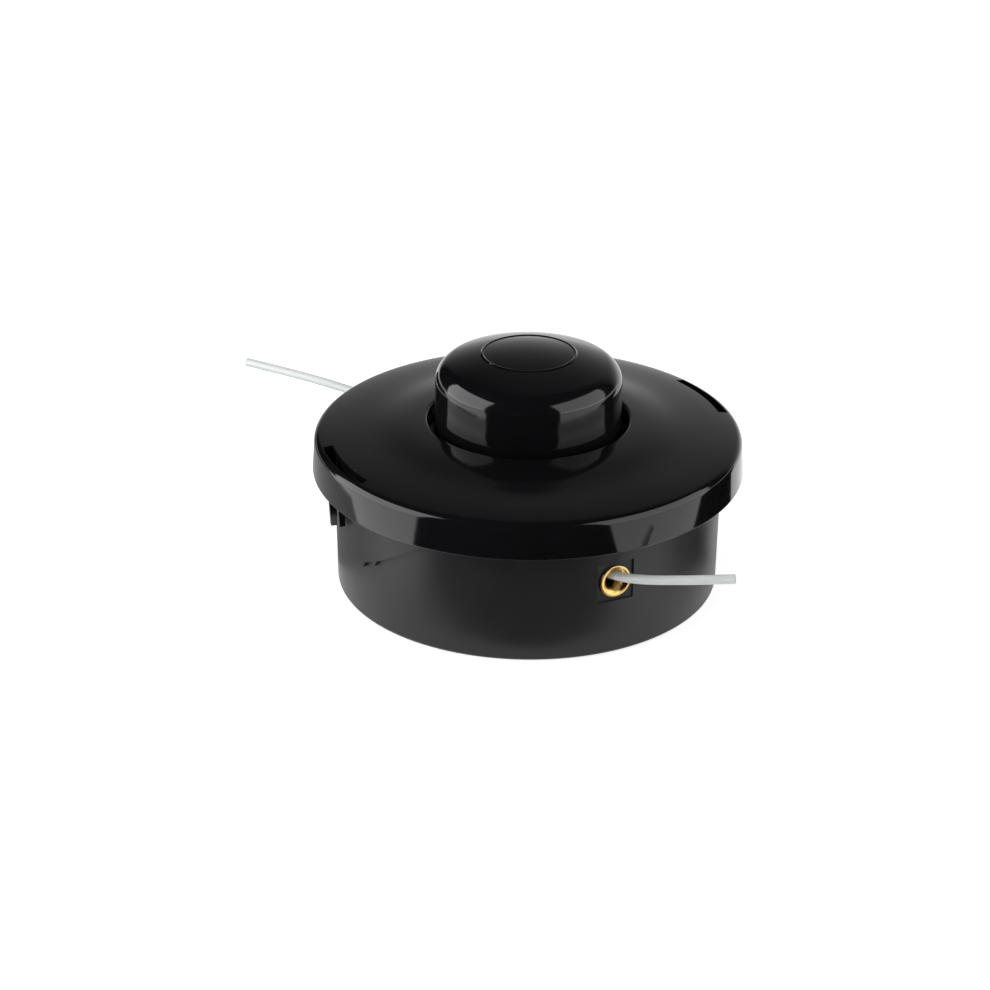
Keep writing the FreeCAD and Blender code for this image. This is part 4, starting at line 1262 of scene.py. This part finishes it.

# %% [markdown]
# ## Painted reflections
# They stand in for the black and white cards that studio photographers lay round a shiny object,
# because black plastic shows little but what it mirrors. Here they are flat sheets just over the
# floor, and only mirrored rays see them, so they are painted reflections. Dark ones in front and
# behind on both sides paint dark reflections. White ones below the softboxes, and a grey one
# between white and dark on the left, glow and paint bright reflections. They shape the reflections
# and leave the light alone.

# %% Painted reflections
REFLECTION_LIFT = 0.001
# Painted reflections: name, corners, and how brightly each sheet glows for mirrored rays (0 paints
# a dark reflection).
PAINTED_REFLECTIONS = [
    ("painted_dark_reflection_front", [(-0.060, -0.062), (-0.394, -0.308), (-1.9, -1.5), (-1.9, -1.9),
                    (1.5, -1.9), (0.294, -0.405), (0.045, -0.062)], 0.0),
    ("painted_bright_reflection_left", [(-0.080, -0.040), (-0.146, -0.010), (-0.155, 0.032), (-0.445, 0.227),
                    (-0.394, -0.308), (-0.060, -0.062)], 2.05),
    ("painted_grey_reflection_left", [(-0.080, -0.040), (-0.030, 0.065), (-0.100, 0.215), (-0.240, 0.089),
                   (-0.155, 0.032), (-0.146, -0.010)], 0.45),
    ("painted_dark_reflection_left", [(-0.240, 0.089), (-0.100, 0.215), (-0.250, 0.435), (-0.400, 0.400),
                   (-0.445, 0.227)], 0.0),
    ("painted_bright_reflection_right", [(0.070, -0.046), (0.045, -0.062), (0.294, -0.405), (0.485, 0.105)], 1.3),
    ("painted_dark_reflection_right", [(0.070, -0.046), (0.485, 0.105), (0.420, 0.316), (0.070, 0.0)], 0.0),
]


def stage_painted_reflection(name, corners, material):
    """A flat sheet just over the floor that only mirrored rays see, a painted reflection; corners
    are right of and beyond the head, in metres.
    """
    turn = math.radians(VIEW_AZIMUTH)
    x, y = np.array(corners).T
    points = np.stack([x * math.cos(turn) - y * math.sin(turn),
                       x * math.sin(turn) + y * math.cos(turn), 0 * x + REFLECTION_LIFT], -1)
    painted_sheet = stage_sheet(name, points.tolist(), material)
    painted_sheet.visible_camera = False
    painted_sheet.visible_diffuse = False
    painted_sheet.visible_transmission = False
    painted_sheet.visible_shadow = False


# Each sheet is a painted reflection: black ones paint dark reflections, glowing ones paint bright
# reflections.
for name, corners, strength in PAINTED_REFLECTIONS:
    stage_painted_reflection(name, corners, stage_material(name, 0.0, strength))
print("painted_reflections", [name for name, corners, strength in PAINTED_REFLECTIONS])

# %% [markdown]
# ## Lamps
# Two softboxes light the head, one on each side, and their long mirror images run down the lid,
# the skirt and the knob. Each is an area lamp that looks at the middle of the head. What a mirror
# shows of it is the brightness of its face, so that is the last value of each, and the power
# follows from it: pi times the area times the brightness.

# %% Lamps
AIM = Vector((0, 0, 0.04))
LAMPS = [
    ("softbox_left", -82.0, 19.0, 0.6, 0.72, 0.51, 3.0),
    ("softbox_right", 69.0, 20.0, 0.6, 0.80, 0.53, 1.75),
]


def place_lamp(name, azimuth, height, distance, width, tall, brightness):
    """An area lamp at a distance; its power is pi times its area times the face's brightness."""
    data = bpy.data.lights.new(name, "AREA")
    data.shape = "RECTANGLE"
    data.size = width
    data.size_y = tall
    data.energy = math.pi * width * tall * brightness
    lamp = put(name, data)
    a = math.radians(VIEW_AZIMUTH - 90.0 + azimuth)
    e = math.radians(height)
    out = Vector((math.cos(a) * math.cos(e), math.sin(a) * math.cos(e), math.sin(e)))
    lamp.location = AIM + out * distance
    lamp.rotation_mode = "QUATERNION"
    lamp.rotation_quaternion = (-out).to_track_quat("-Z", "Y")


for lamp in LAMPS:
    place_lamp(*lamp)
print("lamps", [lamp[0] for lamp in LAMPS])

# %% [markdown]
# ## World
# The world plays three parts. For matt surfaces it is an even grey that fills the shadows. For
# mirrors it is a backdrop behind the head: brightest near the floor, fading upwards as the
# exponential of height, and dark towards the camera's side. For the camera it is plain white, as
# the photograph is cut out on white.

# %% World
WORLD_GREY = 0.35
BACKDROP = 1.2
BACKDROP_FADE = 0.28
BACKDROP_AZ = 165.5
BACKDROP_EDGES = (0.74, 0.98)
CUT_OUT_WHITE = 1.0


def build_world():
    """Even grey light; mirrors see a backdrop that fades with height, the camera sees white."""
    world = bpy.data.worlds.new("studio")
    world.use_nodes = True
    tree = world.node_tree
    link = tree.links.new
    background = tree.nodes["Background"]
    place = node(tree, "ShaderNodeTexCoord", -1400, 0)
    split = node(tree, "ShaderNodeSeparateXYZ", -1200, -200)
    link(place.outputs["Generated"], split.inputs["Vector"])
    z = split.outputs["Z"]
    level = maths(tree, "EXPONENT", -700, -200,
                  maths(tree, "DIVIDE", -900, -200, z, -BACKDROP_FADE))
    reach = maths(tree, "SQRT", -700, -400, maths(tree, "SUBTRACT", -900, -400, 1.0,
                                                  maths(tree, "MULTIPLY", -1050, -400, z, z)))
    a = math.radians(VIEW_AZIMUTH - 90.0 + BACKDROP_AZ)
    facing = node(tree, "ShaderNodeVectorMath", -1200, 100, operation="DOT_PRODUCT")
    facing.inputs[1].default_value = (math.cos(a), math.sin(a), 0.0)
    link(place.outputs["Generated"], facing.inputs[0])
    across = maths(tree, "DIVIDE", -500, 0, facing.outputs["Value"], reach)
    window = fill(node(tree, "ShaderNodeMapRange", -300, 0),
                  {"From Min": BACKDROP_EDGES[0], "From Max": BACKDROP_EDGES[1],
                   "To Max": BACKDROP})
    link(across, window.inputs["Value"])
    shown = maths(tree, "MULTIPLY", -100, -100, window.outputs["Result"], level)
    path = node(tree, "ShaderNodeLightPath", -300, 300)
    choose = fill(node(tree, "ShaderNodeMix", 100, 100), {"A": WORLD_GREY})
    link(path.outputs["Is Glossy Ray"], choose.inputs["Factor"])
    link(shown, choose.inputs["B"])
    white = fill(node(tree, "ShaderNodeMix", 300, 100), {"B": CUT_OUT_WHITE})
    link(path.outputs["Is Camera Ray"], white.inputs["Factor"])
    link(choose.outputs["Result"], white.inputs["A"])
    link(white.outputs["Result"], background.inputs["Strength"])
    fill(background, {"Color": (1, 1, 1, 1)})
    bpy.context.scene.world = world


build_world()
bpy.context.scene.view_settings.view_transform = "Standard"
print("world", WORLD_GREY, "for matt surfaces,", BACKDROP, "for the backdrop's foot")
